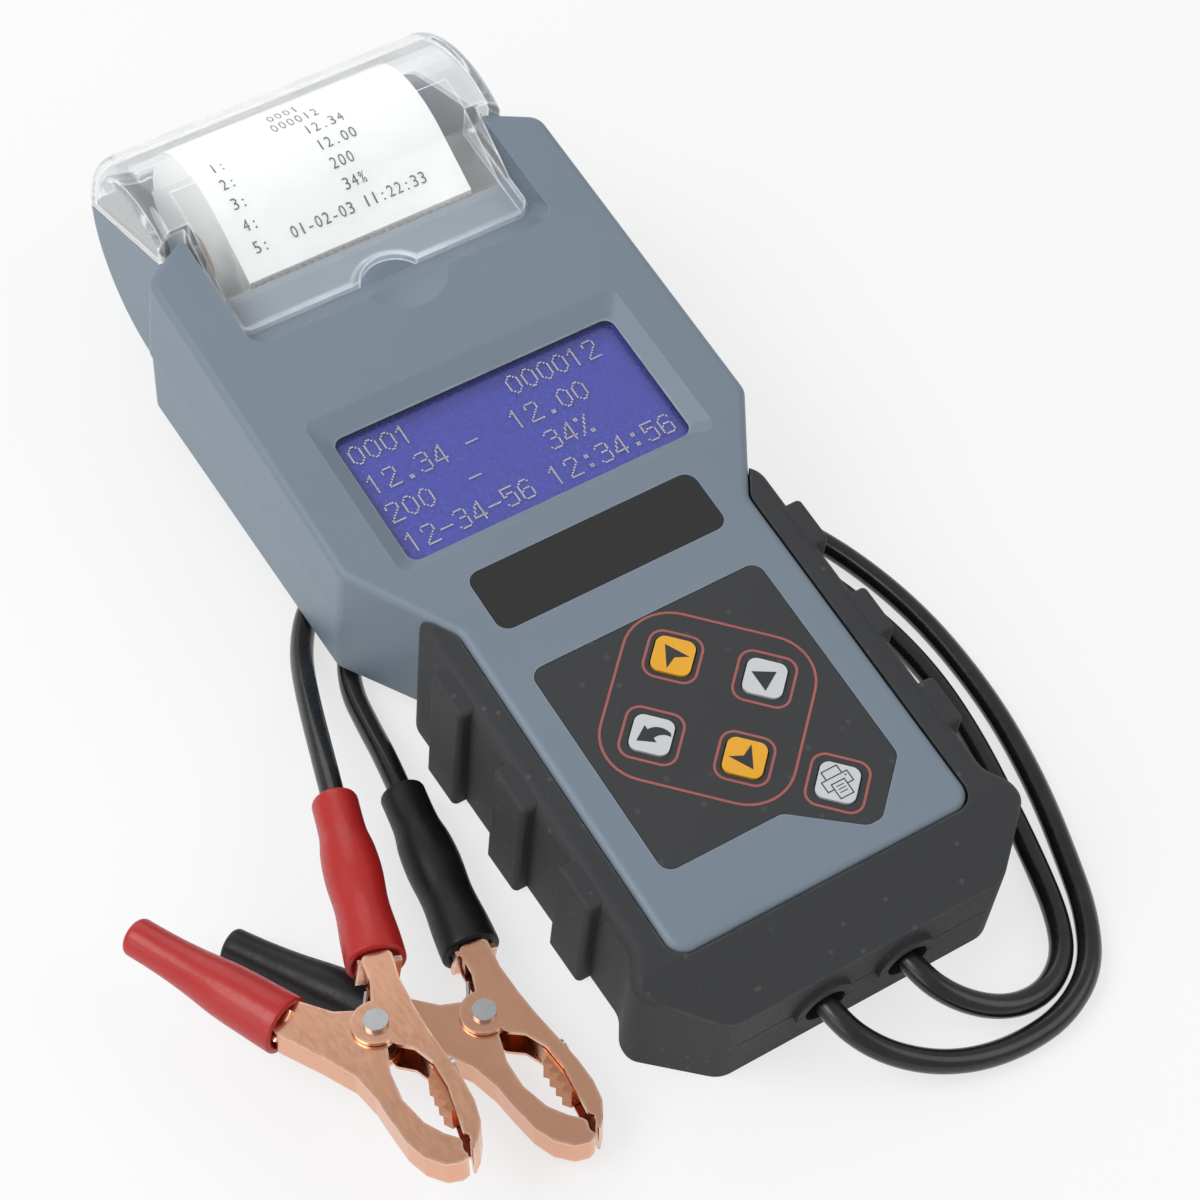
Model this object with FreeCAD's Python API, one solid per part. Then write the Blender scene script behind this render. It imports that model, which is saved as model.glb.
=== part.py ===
import FreeCAD, Part
import math
import os
from FreeCAD import Placement, Rotation, Vector

# Hand-held battery tester with a built-in receipt printer, two leads and two clamps.
# Lengths are millimetres and angles are degrees.
# Face frame: x across, y towards the printer, z = 0 on the front face.
# Case frame: the same x, z = 0 on the floor. The face leans by TILT to it.

# Attitude
TILT = 6.0
FACE_HEIGHT = 40.3

# Face outline
GRIP_HALF = 35.8
FACE_END_Y = -86.0
WAIST_Y = -1.5
FLARE_Y = 22.8
HEAD_HALF = 50.3
SHOULDER_SIDE_Y = 110.5
SHOULDER_END_Y = 117.0
SHOULDER_INNER = 39.4
FACE_CORNER_R = 4.5
FACE_EDGE_R = 2.0
SIDE_DRAFT = 0.05

# Case walls and the joint between the shells
WALL = 2.4
SHELL_DEPTH = 60.0
PARTING_KNEE_Y = 9.5
PARTING_HEIGHT = 26.7
REAR_GROW_TOP = 1.0
REAR_GROW_LOW = 0.4
BACK_HEIGHT = 7.0

# Screen
WINDOW_HALF = 35.0
WINDOW_Y0 = 19.4
WINDOW_Y1 = 54.5
WINDOW_R = 2.5
BEVEL_HALF = 39.0
BEVEL_Y0 = 16.7
BEVEL_Y1 = 60.0
LENS_LAP = 2.0
LENS_T = 1.5
MODULE_HALF = 37.6
MODULE_Y0 = 14.0
MODULE_Y1 = 61.0

# Label and keypad
LABEL_HALF = 27.9
LABEL_Y0 = -5.8
LABEL_Y1 = 9.9
LABEL_R = 3.0
RECESS = 0.6
FILM_T = 0.5
KEYPAD_HALF = 28.0
KEYPAD_TOP_Y = -16.5
KEYPAD_LOW_Y = -69.6
KEYPAD_LOBE_Y = -80.4
KEYPAD_R = 3.0
KEY_CLUSTER_Y = -41.5
KEY_ARM = 13.75
PRINT_KEY_X = 13.4
PRINT_KEY_Y = -69.3
KEY_SIDE = 8.5
KEY_R = 2.0
KEY_PROUD = 0.35
KEY_TRAVEL = 0.6
KEY_FIT = 0.3
KEY_FLANGE = 1.0
KEY_STEM_R = 2.0

# Circuit board and what stands on it
BOARD_TOP = -10.0
BOARD_T = 1.6
BOARD_HALF = 32.0
BOARD_WIDE_HALF = 37.0
BOARD_Y0 = -80.5
BOARD_STEP_Y = 12.0
BOARD_Y1 = 84.0
SWITCH_SIDE = 6.0
SWITCH_T = 2.4
PLUNGER_R = 1.7
BOARD_BOSS_R = 3.0
BOARD_SCREW_R = 1.1
BOARD_BOSS_X = 28.5
BOARD_BOSS_YS = (-77.0, -12.5)

# Paper bay, roll and door
BAY_R = 29.3
BAY_WALL = 2.2
BAY_HALF = 44.0
BAY_END_R = 5.0
FOOT_FLAT = 0.5
ROLL_GAP = 2.1
ROLL_CLEAR = 0.530978278
DOOR_LINE_Y = 113.9
DOOR_LINE_Z = 47.2
DOOR_LINE_FALL = 20.6
DOOR_GAP = 0.4
ROLL_R = BAY_R - BAY_WALL - ROLL_GAP
ROLL_WIDTH = 57.0
CORE_R = 6.4
SPINDLE_R = 4.0
SPINDLE_FIT = 0.05
PAPER_T = 0.3
PAPER_GAP = 0.3
DOOR_FRONT_HALF = 37.4
DOOR_LIP_Y = 91.5
DOOR_LIP_Z = -5.8
DOOR_RAMP_Y = 101.5
DOOR_T = 2.0
DOOR_SKIRT_Z = -8.3
THUMB_R = 8.0
THUMB_Y = 88.0
POCKET_HALF = 38.2
POCKET_Y = 90.4
POCKET_Z = -8.6
POCKET_R = 4.0
POCKET_FLOOR_T = 2.0
POCKET_RIM_RUN = 7.5
POCKET_RIM_DROP = 0.4
SLOT_Y = 102.9
SCOOP_R = 28.0
SCOOP_DEPTH = 2.0
SCOOP_Y = 86.0
HINGE_OUT = 1.4
KNUCKLE_R = 2.4
PIN_R = 1.0
PIN_FIT = 0.04
KNUCKLE_XS = (13.0, 20.7, 21.0, 30.0, 30.3, 38.0)

# Printer mechanism
PLATEN_Y = 99.0
PLATEN_Z = -16.0
PLATEN_R = 4.5
PLATEN_SHAFT_R = 1.5
PLATEN_HALF = 29.0
SHAFT_FIT = 0.05
FRAME_IN = 31.5
FRAME_T = 2.0
GEAR_MODULE = 0.5
GEAR_WIDTH = 3.0
GEAR_SIDE_GAP = 0.7
PLATEN_TEETH = 22
IDLER_TEETH = 20
PINION_TEETH = 14
GEAR_BACKLASH = 0.10
IDLER_ANGLE = -100.0
PINION_ANGLE = -135.0
MOTOR_R = 6.5
MOTOR_LENGTH = 15.0
MOTOR_SHAFT_R = 1.0
HEAD_T = 3.2
TEAR_T = 0.5
TEAR_PITCH = 2.0
TEAR_TOOTH = 0.8

# Batteries and screws
CELL_GAP = 0.5
CELL_LENGTH = 50.5
CELL_MARGIN = 5.9
CELL_COUNT = 6
CELL_PITCH = 2 * (HEAD_HALF - CELL_MARGIN) / CELL_COUNT
CELL_R = (CELL_PITCH - CELL_GAP) / 2
CELL_Y0 = 32.2
CONTACT_T = 0.5
CONTACT_GAP = 0.3
RIB_T = 5.0
RIB_THIN = 2.0
RIB_HEIGHT = 17.0
COVER_IN = 3.6
COVER_HALF = HEAD_HALF - COVER_IN
COVER_LAP = 3.0
COVER_T = 1.2
COVER_FIT = 0.3
COVER_SCREW_X = 30.0
SCREW_R = 1.5
SCREW_HEAD_R = 3.0
SCREW_HEAD_T = 2.2
BOSS_R = 4.0
BOSS_FRONT_IN = 8.3
BOSS_BACK_IN = 5.8
BOSS_PLACES = ((HEAD_HALF - BOSS_FRONT_IN, 19.0), (HEAD_HALF - BOSS_BACK_IN, 97.0))

# Rubber boot
BOOT_HALF = 42.5
BOOT_BLOCK_HALF = 45.5
BOOT_TOP = -0.8
BOOT_TIP_Y = 7.5
BOOT_END_Y = -102.4
BOOT_FLARE_Y = -80.0
BOOT_CORNER_HALF = 46.0
BOOT_CORNER_Y = -85.5
BOOT_CHAMFER_Y = -89.5
BOOT_END_HALF = 32.5
BOOT_EDGE_R = 3.0
BOOT_FIT = 0.2
BOOT_NOSE_DROP = 5.0
BLOCK_LENGTH = 11.8
BLOCK_PITCH = 25.2
BLOCK_FIRST_Y = -6.6
BLOCK_COUNT = 3
BLOCK_EDGE_R = 1.2
NOSE_WALL = 3.6
NOSE_HALF = 26.0

# Leads
LEAD_R = 2.6
LEAD_X = 10.0
LEAD_Z = -16.4
HOLE_R = 4.7
COLLAR_R = 6.8
COLLAR_OUT = 1.4
SLIT_HALF = 30.0
SLIT = 0.4
GLAND_R = 4.0
GLAND_FLANGE_R = 5.6
GLAND_TIP_R = 3.5
GLAND_END_Y = -97.0

# Clamps, in each clamp's own frame: z along the pivot, y towards the handles
JAW_WIDTH = 9.0
JAW_T = 0.9
JAW_FIT = 0.2
EAR_R = 5.0
RIVET_R = 1.4
RIVET_HEAD_R = 2.5
RIVET_HEAD_T = 0.9
FIXED_ARM = Vector(5.8, 14.5, 0)
FIXED_ARM_ANGLE = 80.4
MOVING_ARM = Vector(-15.6, 9.6, 0)
MOVING_ARM_ANGLE = 121.3
TANG_WIDTH = 5.0
TANG_T = 5.6
TANG_LENGTH = 24.0
MOVING_TANG_LENGTH = 17.0
SLEEVE_BORE_R = 4.3
SLEEVE_START = 1.0
CRIMP_LENGTH = 7.0
CRIMP_R = 3.4
LEAD_BORE_FIT = 0.15
SPRING_R = 3.0
SPRING_WIRE_R = 0.45
SPRING_PITCH = 1.34
SPRING_TURNS = 1
SPRING_LEG = 8.5
SPRING_LEG_MOVING = 152.0
SPRING_LEG_FIXED = 62.0
STRIP_T = 1.0
STRIP_REACH = 5.0
STRIP_FIT = 0.05
STRIP_WIDTH = 6.4
STRIP_RIVET_R = 1.2
STRIP_HEAD_R = 2.2
STRIP_RIVET_Y = -13.5
BLACK_CLAMP = Placement(Vector(-68.3, -66.4, 6.5), Rotation(0, 0, 0))
RED_CLAMP = Placement(Vector(-91.5, -65.2, 21.2), Rotation(-7.3, 0, -4.0))

# Lead routes, in the case frame
LEAD_FIRST_RUN = 9.9
LEAD_FLOOR_Z = 2.7
RED_ROUTE = [
    (-5.8, -113.5, 10.2), (2, -119.9, 7.2), (11.5, -123.6, 4.6), (22.5, -125, 3), (34.5, -124), (45.6, -118),
    (52.6, -107), (57.2, -94), (62.5, -77), (66.2, -59), (67.6, -43), (67.4, -27), (65, -11.5), (60.5, 3.5),
    (53, 18), (41.5, 30), (25, 40.5), (5, 47.5), (-15, 52), (-33, 53.5), (-46.5, 48), (-55, 36.5, 4.6),
    (-61, 22, 9.4),
]
BLACK_ROUTE = [
    (14.9, -113.2, 10), (23.5, -118.2, 6.4), (33.5, -118.2, 3.6), (42, -113.2), (47, -104.6), (51, -91),
    (54.8, -75), (58.2, -59), (60, -43), (59.4, -28), (56.5, -13), (52, 1.5), (46, 14.5), (35, 25), (19, 32),
    (1, 37), (-16, 40), (-33, 39.5), (-44.5, 34), (-50.5, 22.5), (-52.4, 10, 4.2),
]

CASE_PLACE = Placement(Vector(0, 0, FACE_HEIGHT), Rotation(Vector(1, 0, 0), TILT))
X_AXIS = Vector(1, 0, 0)
FAR = 200.0


def on_case(shape):
    """Take a shape from the face frame to the case frame."""
    moved = shape.copy()
    moved.Placement = CASE_PLACE.multiply(moved.Placement)
    return moved


def box(x0, x1, y0, y1, z0, z1):
    """Box between two corners."""
    return Part.makeBox(x1 - x0, y1 - y0, z1 - z0, Vector(x0, y0, z0))


def rod(radius, start, end):
    """Round bar between two points."""
    return Part.makeCylinder(radius, (end - start).Length, start, end - start)


def cross_rod(radius, x0, x1, y, z):
    """Round bar along x."""
    return rod(radius, Vector(x0, y, z), Vector(x1, y, z))


def fused(shapes):
    """One solid from shapes that touch."""
    return shapes[0].multiFuse(shapes[1:]).removeSplitter() if len(shapes) > 1 else shapes[0]


def rounded_wire(points, radius, z=0.0):
    """Closed outline in the xy plane with its corners rounded as far as the sides allow."""
    corners = [Vector(p[0], p[1], z) for p in points]
    count = len(corners)
    spans = []
    for i, corner in enumerate(corners):
        back = corners[i - 1] - corner
        ahead = corners[(i + 1) % count] - corner
        half = 0.5 * back.getAngle(ahead)
        reach = min(radius / math.tan(half), 0.45 * min(back.Length, ahead.Length))
        back.normalize()
        ahead.normalize()
        middle = back + ahead
        turn = reach * math.tan(half)
        if middle.Length < 1e-6 or turn < 1e-3:
            spans.append((corner, corner, corner))
            continue
        middle.normalize()
        peak = corner + middle * (turn / math.sin(half) - turn)
        spans.append((corner + back * reach, peak, corner + ahead * reach))
    edges = []
    for i, (start, peak, end) in enumerate(spans):
        if (start - end).Length > 1e-6:
            edges.append(Part.Arc(start, peak, end).toShape())
        following = spans[(i + 1) % count][0]
        if (following - end).Length > 1e-6:
            edges.append(Part.LineSegment(end, following).toShape())
    return Part.Wire(edges)


def prism(points, radius, z0, z1):
    """Upright solid on a rounded outline."""
    return Part.Face(rounded_wire(points, radius, z0)).extrude(Vector(0, 0, z1 - z0))


def rectangle(half, y0, y1):
    """Corners of a rectangle that is centred on x."""
    return [(-half, y0), (half, y0), (half, y1), (-half, y1)]


def both_sides(right):
    """Outline from its right half, listed from the bottom up."""
    return right + [(-x, y) for x, y in reversed(right)]


def side_slab(points, x0, x1):
    """Solid from a profile of (y, z) points, spanning x0 to x1."""
    corners = [Vector(x0, y, z) for y, z in points]
    return Part.Face(Part.makePolygon(corners + corners[:1])).extrude(Vector(x1 - x0, 0, 0))


def mirrored_x(shape):
    """Mirror image across the middle plane."""
    return shape.mirror(Vector(0, 0, 0), X_AXIS)


# Case

def face_outline(grow):
    """Outline of the case, widened by grow."""
    turn = math.atan2(HEAD_HALF - GRIP_HALF, FLARE_Y - WAIST_Y)
    slip = grow * math.tan(turn / 2)
    return both_sides([
        (GRIP_HALF + grow, FACE_END_Y - grow),
        (GRIP_HALF + grow, WAIST_Y - slip),
        (HEAD_HALF + grow, FLARE_Y - slip),
        (HEAD_HALF + grow, SHOULDER_SIDE_Y + slip),
        (SHOULDER_INNER, SHOULDER_END_Y + grow),
    ])


def case_blank(z_top, grow_top, z_low, grow_low):
    """Solid between two case outlines, in the face frame."""
    top = rounded_wire(face_outline(grow_top), FACE_CORNER_R, z_top)
    low = rounded_wire(face_outline(grow_low), FACE_CORNER_R, z_low)
    return Part.makeLoft([low, top], True, True)


def above_parting(lift=0.0):
    """Everything above the joint between the shells, in the case frame."""
    run = PARTING_KNEE_Y + FAR
    low = PARTING_HEIGHT - run * math.tan(math.radians(TILT))
    points = [(-FAR, low + lift), (PARTING_KNEE_Y, PARTING_HEIGHT + lift), (FAR, PARTING_HEIGHT + lift)]
    return side_slab(points + [(FAR, FAR), (-FAR, FAR)], -FAR, FAR)


def above_height(height):
    """Everything above a height over the floor, in the case frame."""
    return box(-FAR, FAR, -FAR, FAR, height, FAR)


def web_front_y():
    """Front face of the paper's run down to the platen, in the face frame."""
    return PLATEN_Y + PLATEN_R + PAPER_GAP


def bay_centre():
    """Axis of the paper bay in the case frame, as (y, z). The roll clears the paper's run to the platen."""
    z = BAY_R - FOOT_FLAT
    run = CASE_PLACE.multVec(Vector(0, web_front_y() + PAPER_T, PLATEN_Z))
    return run.y + math.sqrt((ROLL_R + ROLL_CLEAR) ** 2 - (z - run.z) ** 2), z


def in_face(y, z):
    """Face-frame (y, z) of a case-frame (y, z)."""
    place = CASE_PLACE.inverse().multVec(Vector(0, y, z))
    return place.y, place.z


def drum(inset):
    """Rounded drum that the door and the bay share, in the case frame."""
    y, z = bay_centre()
    shape = cross_rod(BAY_R - inset, inset - BAY_HALF, BAY_HALF - inset, y, z)
    rims = [e for e in shape.Edges if len(e.Vertexes) == 1]
    return shape.makeFillet(BAY_END_R - inset, rims)


def above_door_line(lift):
    """Everything above the sloping joint between the bay and its door."""
    fall = math.tan(math.radians(DOOR_LINE_FALL))
    start = DOOR_LINE_Z + (DOOR_LINE_Y + FAR) * fall + lift
    end = DOOR_LINE_Z - (FAR - DOOR_LINE_Y) * fall + lift
    return side_slab([(-FAR, start), (FAR, end), (FAR, 2 * FAR), (-FAR, 2 * FAR)], -FAR, FAR)


def hinge_axis():
    """Door hinge axis in the case frame, as (y, z), just outside the seam at the back."""
    y, z = bay_centre()
    fall = math.tan(math.radians(DOOR_LINE_FALL))
    drop = DOOR_LINE_Z - (y - DOOR_LINE_Y) * fall - z
    slope = 1 + fall * fall
    run = (drop * fall + math.sqrt(slope * BAY_R ** 2 - drop ** 2)) / slope
    angle = math.atan2(drop - run * fall, run)
    reach = BAY_R + HINGE_OUT
    return y + reach * math.cos(angle), z + reach * math.sin(angle)


def knuckles(first, radius, gap=0.0):
    """Hinge knuckles on both sides, taking every other span from first on."""
    y, z = hinge_axis()
    shapes = []
    for i in range(first, 3, 2):
        x0 = KNUCKLE_XS[2 * i] - gap
        x1 = KNUCKLE_XS[2 * i + 1] + gap
        shapes.append(cross_rod(radius, x0, x1, y, z))
        shapes.append(cross_rod(radius, -x1, -x0, y, z))
    return shapes


def boss_columns(radius, z0, z1):
    """Columns at the case screws, in the case frame."""
    return [rod(radius, Vector(side * x, y, z0), Vector(side * x, y, z1))
            for x, y in BOSS_PLACES for side in (-1, 1)]


def key_places():
    """Centre of each key on the face."""
    return {
        "key_up": (0.0, KEY_CLUSTER_Y + KEY_ARM),
        "key_right": (KEY_ARM, KEY_CLUSTER_Y),
        "key_left": (-KEY_ARM, KEY_CLUSTER_Y),
        "key_down": (0.0, KEY_CLUSTER_Y - KEY_ARM),
        "key_print": (PRINT_KEY_X, PRINT_KEY_Y),
    }


def key_block(place, grow, z0, z1):
    """Rounded square turned by an eighth turn round a key's centre."""
    reach = (KEY_SIDE / 2 + grow) * math.sqrt(2)
    x, y = place
    corners = [(x + reach, y), (x, y + reach), (x - reach, y), (x, y - reach)]
    return prism(corners, KEY_R + grow, z0, z1)


def keypad_outline(grow):
    """Outline of the keypad overlay with the lobe round the print key."""
    return [
        (-KEYPAD_HALF - grow, KEYPAD_TOP_Y + grow),
        (-KEYPAD_HALF - grow, KEYPAD_LOW_Y - grow),
        (PRINT_KEY_X - KEY_ARM, KEYPAD_LOW_Y - grow),
        (PRINT_KEY_X, KEYPAD_LOBE_Y - grow),
        (PRINT_KEY_X + 3.5, KEYPAD_LOBE_Y - grow),
        (KEYPAD_HALF + grow, KEYPAD_LOW_Y - grow),
        (KEYPAD_HALF + grow, KEYPAD_TOP_Y + grow),
    ]


def board_bosses(radius, z0, z1):
    """Columns at the board screws, in the face frame."""
    return [rod(radius, Vector(side * BOARD_BOSS_X, y, z0), Vector(side * BOARD_BOSS_X, y, z1))
            for y in BOARD_BOSS_YS for side in (-1, 1)]


def lead_holes(radius, y0, y1):
    """Bars along the two lead exits, in the face frame."""
    return [rod(radius, Vector(side * LEAD_X, y0, LEAD_Z), Vector(side * LEAD_X, y1, LEAD_Z))
            for side in (-1, 1)]


def front_shell():
    """Face moulding with the screen frame, recesses, key holes and printer pocket."""
    deep = SHELL_DEPTH
    blank = case_blank(0, 0, -deep, deep * SIDE_DRAFT)
    rims = [e for e in blank.Edges if all(abs(v.Z) < 1e-6 for v in e.Vertexes)]
    outer = blank.makeFillet(FACE_EDGE_R, rims)
    inner = case_blank(-WALL, -WALL, -deep - 1, deep * SIDE_DRAFT - WALL)
    floor_z = POCKET_Z - POCKET_FLOOR_T
    tub_half = POCKET_HALF + POCKET_FLOOR_T
    tub = box(-tub_half, tub_half, POCKET_Y - POCKET_FLOOR_T, SLOT_Y, floor_z, -WALL / 2)
    cheeks = [box(min(s * POCKET_HALF, s * tub_half), max(s * POCKET_HALF, s * tub_half), SLOT_Y - 1,
                  SHOULDER_END_Y - WALL / 2, -deep, -WALL / 2) for s in (-1, 1)]
    rim_z = DOOR_LIP_Z - POCKET_RIM_DROP
    rim_y = POCKET_Y - POCKET_RIM_RUN
    under = [Vector(-tub_half, rim_y - POCKET_FLOOR_T, -WALL / 2), Vector(-tub_half, POCKET_Y, rim_z - POCKET_FLOOR_T),
             Vector(-tub_half, POCKET_Y, -WALL / 2)]
    backing = Part.Face(Part.makePolygon(under + under[:1])).extrude(Vector(2 * tub_half, 0, 0))
    shell = outer.cut(inner)
    shell = fused([shell, tub, backing] + cheeks + board_bosses(BOARD_BOSS_R, BOARD_TOP, -WALL / 2))
    pocket = prism(rectangle(POCKET_HALF, POCKET_Y, FAR), POCKET_R, POCKET_Z, WALL)
    rim = Part.makeLoft([
        rounded_wire(rectangle(POCKET_HALF, rim_y, SLOT_Y), POCKET_R, 0),
        rounded_wire(rectangle(POCKET_HALF, POCKET_Y, SLOT_Y), POCKET_R, rim_z),
    ], True, True)
    way = box(-POCKET_HALF, POCKET_HALF, SLOT_Y, FAR, -deep - 1, WALL)
    scoop = Part.makeSphere(SCOOP_R, Vector(0, SCOOP_Y, SCOOP_R - SCOOP_DEPTH))
    bevel = Part.makeLoft([
        rounded_wire(rectangle(BEVEL_HALF, BEVEL_Y0, BEVEL_Y1), WINDOW_R, 0),
        rounded_wire(rectangle(WINDOW_HALF, WINDOW_Y0, WINDOW_Y1), WINDOW_R, -WALL),
    ], True, True)
    window = prism(rectangle(WINDOW_HALF, WINDOW_Y0, WINDOW_Y1), WINDOW_R, -WALL - 1, -WALL / 2)
    label = prism(rectangle(LABEL_HALF, LABEL_Y0, LABEL_Y1), LABEL_R, -RECESS, WALL)
    keypad = prism(keypad_outline(0), KEYPAD_R, -RECESS, WALL)
    holes = [key_block(place, KEY_FIT, -WALL - 1, WALL) for place in key_places().values()]
    pilots = board_bosses(BOARD_SCREW_R, BOARD_TOP - 1, -WALL - 1)
    exits = lead_holes(GLAND_R, BOOT_END_Y, FACE_END_Y + 10)
    gear_x = FRAME_IN + FRAME_T + GEAR_SIDE_GAP
    gear_r = GEAR_MODULE * (PLATEN_TEETH / 2 + 1) + KEY_FIT
    relief = cross_rod(gear_r, gear_x - KEY_FIT, gear_x + GEAR_WIDTH + KEY_FIT, PLATEN_Y, PLATEN_Z)
    for tool in [pocket, rim, way, scoop, bevel, window, label, keypad, relief] + holes + pilots + exits:
        shell = shell.cut(tool)
    case_shell = on_case(shell).common(above_parting())
    columns = [c.common(on_case(inner)) for c in boss_columns(BOSS_R - 0.5, PARTING_HEIGHT, FAR / 2)]
    case_shell = fused([case_shell] + columns)
    for pilot in boss_columns(SCREW_R, PARTING_HEIGHT - 1, PARTING_HEIGHT + 8):
        case_shell = case_shell.cut(pilot)
    return case_shell


def rear_shell():
    """Back moulding with the paper bay, battery ribs and screw bosses."""
    deep = SHELL_DEPTH
    outer = on_case(case_blank(0, REAR_GROW_TOP, -deep, REAR_GROW_LOW))
    inner = on_case(case_blank(WALL, REAR_GROW_TOP - WALL, -deep, REAR_GROW_LOW - WALL))
    body = outer.common(above_height(BACK_HEIGHT)).cut(above_parting())
    y, z = bay_centre()
    face_room = on_case(case_blank(WALL, DOOR_GAP, -deep, deep * SIDE_DRAFT + DOOR_GAP)).common(above_parting())
    bay = drum(0).cut(above_door_line(0)).common(above_height(0)).cut(face_room)
    neck_top = PARTING_HEIGHT
    neck = box(-BAY_HALF, BAY_HALF, SHOULDER_SIDE_Y, y, BACK_HEIGHT, neck_top)
    body = fused([body, neck, bay])
    cavity = inner.common(above_height(BACK_HEIGHT + WALL))
    mouth = box(BAY_WALL - BAY_HALF, BAY_HALF - BAY_WALL, SLOT_Y, y, BACK_HEIGHT + WALL, FAR)
    body = body.cut(cavity).cut(drum(BAY_WALL)).cut(mouth)
    front_room = box(-POCKET_HALF - WALL, POCKET_HALF + WALL, SLOT_Y, y, neck_top, FAR)
    body = body.cut(front_room)
    ribs = battery_ribs()
    columns = boss_columns(BOSS_R, BACK_HEIGHT, PARTING_HEIGHT)
    body = fused([body] + ribs + [c.common(outer).cut(above_parting()) for c in columns])
    cutters = boss_columns(SCREW_R + SHAFT_FIT, 0, FAR / 2)
    cutters += boss_columns(SCREW_HEAD_R + KEY_FIT, 0, BACK_HEIGHT + SCREW_HEAD_T + 1)
    cutters += cover_space(0) + cover_screw_bars(SCREW_R, 0, BACK_HEIGHT + COVER_T + 8)
    cutters += [on_case(hole) for hole in lead_holes(GLAND_R, BOOT_END_Y, FACE_END_Y + 10)]
    cutters += [cross_rod(SPINDLE_R, -BAY_HALF + 0.8, BAY_HALF - 0.8, y, z)]
    for cutter in cutters:
        body = body.cut(cutter)
    own = [k.cut(drum(BAY_WALL)) for k in knuckles(0, KNUCKLE_R)]
    body = fused([body] + own)
    for cutter in knuckles(1, KNUCKLE_R + DOOR_GAP, DOOR_GAP / 2) + knuckles(0, PIN_R, 1):
        body = body.cut(cutter)
    return body


# Rubber boot

def rubber_boot():
    """Boot round the grip with raised side blocks and a hollow nose for the leads."""
    deep = SHELL_DEPTH
    plan = both_sides([
        (BOOT_END_HALF, BOOT_END_Y), (BOOT_CORNER_HALF, BOOT_CHAMFER_Y), (BOOT_CORNER_HALF, BOOT_CORNER_Y),
        (BOOT_HALF, BOOT_FLARE_Y), (BOOT_HALF, BOOT_TIP_Y),
    ])
    sleeve = prism(plan, 2 * BOOT_EDGE_R, -deep, BOOT_TOP)
    rims = [e for e in sleeve.Edges if all(abs(v.Z - BOOT_TOP) < 1e-6 for v in e.Vertexes)]
    sleeve = sleeve.makeFillet(BOOT_EDGE_R, rims)
    slope = side_slab([(FACE_END_Y, BOOT_TOP), (FACE_END_Y, FAR), (BOOT_END_Y - 1, FAR),
                       (BOOT_END_Y - 1, BOOT_TOP - BOOT_NOSE_DROP)], -FAR, FAR)
    sleeve = sleeve.cut(slope)
    shapes = [sleeve]
    for i in range(BLOCK_COUNT):
        y1 = BLOCK_FIRST_Y - i * BLOCK_PITCH
        block = box(GRIP_HALF - 2, BOOT_BLOCK_HALF, y1 - BLOCK_LENGTH, y1, -deep, BOOT_TOP - 0.5)
        outer = [e for e in block.Edges if max(v.X for v in e.Vertexes) > BOOT_BLOCK_HALF - 1e-6
                 and max(v.Z for v in e.Vertexes) > -deep + 1]
        block = block.makeFillet(BLOCK_EDGE_R, outer)
        shapes += [block, mirrored_x(block)]
    collars = lead_holes(COLLAR_R, BOOT_END_Y - COLLAR_OUT, BOOT_END_Y + 1)
    boot = fused(shapes + collars)
    nose = box(-NOSE_HALF, NOSE_HALF, BOOT_END_Y + NOSE_WALL, FACE_END_Y, LEAD_Z - HOLE_R - 2,
               LEAD_Z + HOLE_R + 1)
    slit = box(-SLIT_HALF, SLIT_HALF, BOOT_END_Y - COLLAR_OUT - 1, BOOT_END_Y + 2 * SLIT,
               LEAD_Z - SLIT / 2, LEAD_Z + SLIT / 2)
    for tool in [nose, slit] + lead_holes(HOLE_R, BOOT_END_Y - COLLAR_OUT - 1, FACE_END_Y):
        boot = boot.cut(tool)
    core = case_blank(WALL, BOOT_FIT, -deep, deep * SIDE_DRAFT + BOOT_FIT)
    rear = case_blank(WALL, REAR_GROW_TOP + BOOT_FIT, -deep, REAR_GROW_LOW + BOOT_FIT)
    room = on_case(core).common(above_parting())
    room = room.fuse(on_case(rear).cut(above_parting()).common(above_height(BACK_HEIGHT - BOOT_FIT)))
    return on_case(boot).common(above_height(0)).cut(room)


# Screen, label and keypad

def screen_parts():
    """Window, screen module, label plate and keypad overlay."""
    lens_low = -WALL - LENS_T
    lens = prism(rectangle(WINDOW_HALF + LENS_LAP, WINDOW_Y0 - LENS_LAP, WINDOW_Y1 + LENS_LAP), WINDOW_R,
                 lens_low, -WALL)
    module = box(-MODULE_HALF, MODULE_HALF, MODULE_Y0, MODULE_Y1, BOARD_TOP, lens_low)
    glass = box(-WINDOW_HALF, WINDOW_HALF, WINDOW_Y0, WINDOW_Y1, lens_low - 0.4, lens_low + 1)
    module = module.cut(glass)
    fit = KEY_FIT / 2
    label = prism(rectangle(LABEL_HALF - fit, LABEL_Y0 + fit, LABEL_Y1 - fit), LABEL_R - fit, -RECESS,
                  FILM_T - RECESS)
    overlay = prism(keypad_outline(-fit), KEYPAD_R - fit, -RECESS, FILM_T - RECESS)
    for place in key_places().values():
        overlay = overlay.cut(key_block(place, KEY_FIT, -WALL, WALL))
    return {"lcd_lens": lens, "lcd_module": module, "label_plate": label, "keypad_overlay": overlay}


def keys():
    """Five keys, each a cap with a flange under the face and a stem."""
    shapes = {}
    flange_top = -WALL - KEY_FIT / 2
    stem_low = BOARD_TOP + SWITCH_T + 1.4 + KEY_TRAVEL + KEY_FIT / 2
    for name, place in key_places().items():
        cap = key_block(place, 0, flange_top - KEY_FLANGE, KEY_PROUD)
        flange = key_block(place, KEY_FLANGE, flange_top - KEY_FLANGE, flange_top)
        stem = rod(KEY_STEM_R, Vector(place[0], place[1], stem_low), Vector(place[0], place[1], flange_top))
        shapes[name] = fused([cap, flange, stem])
    return shapes


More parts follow.
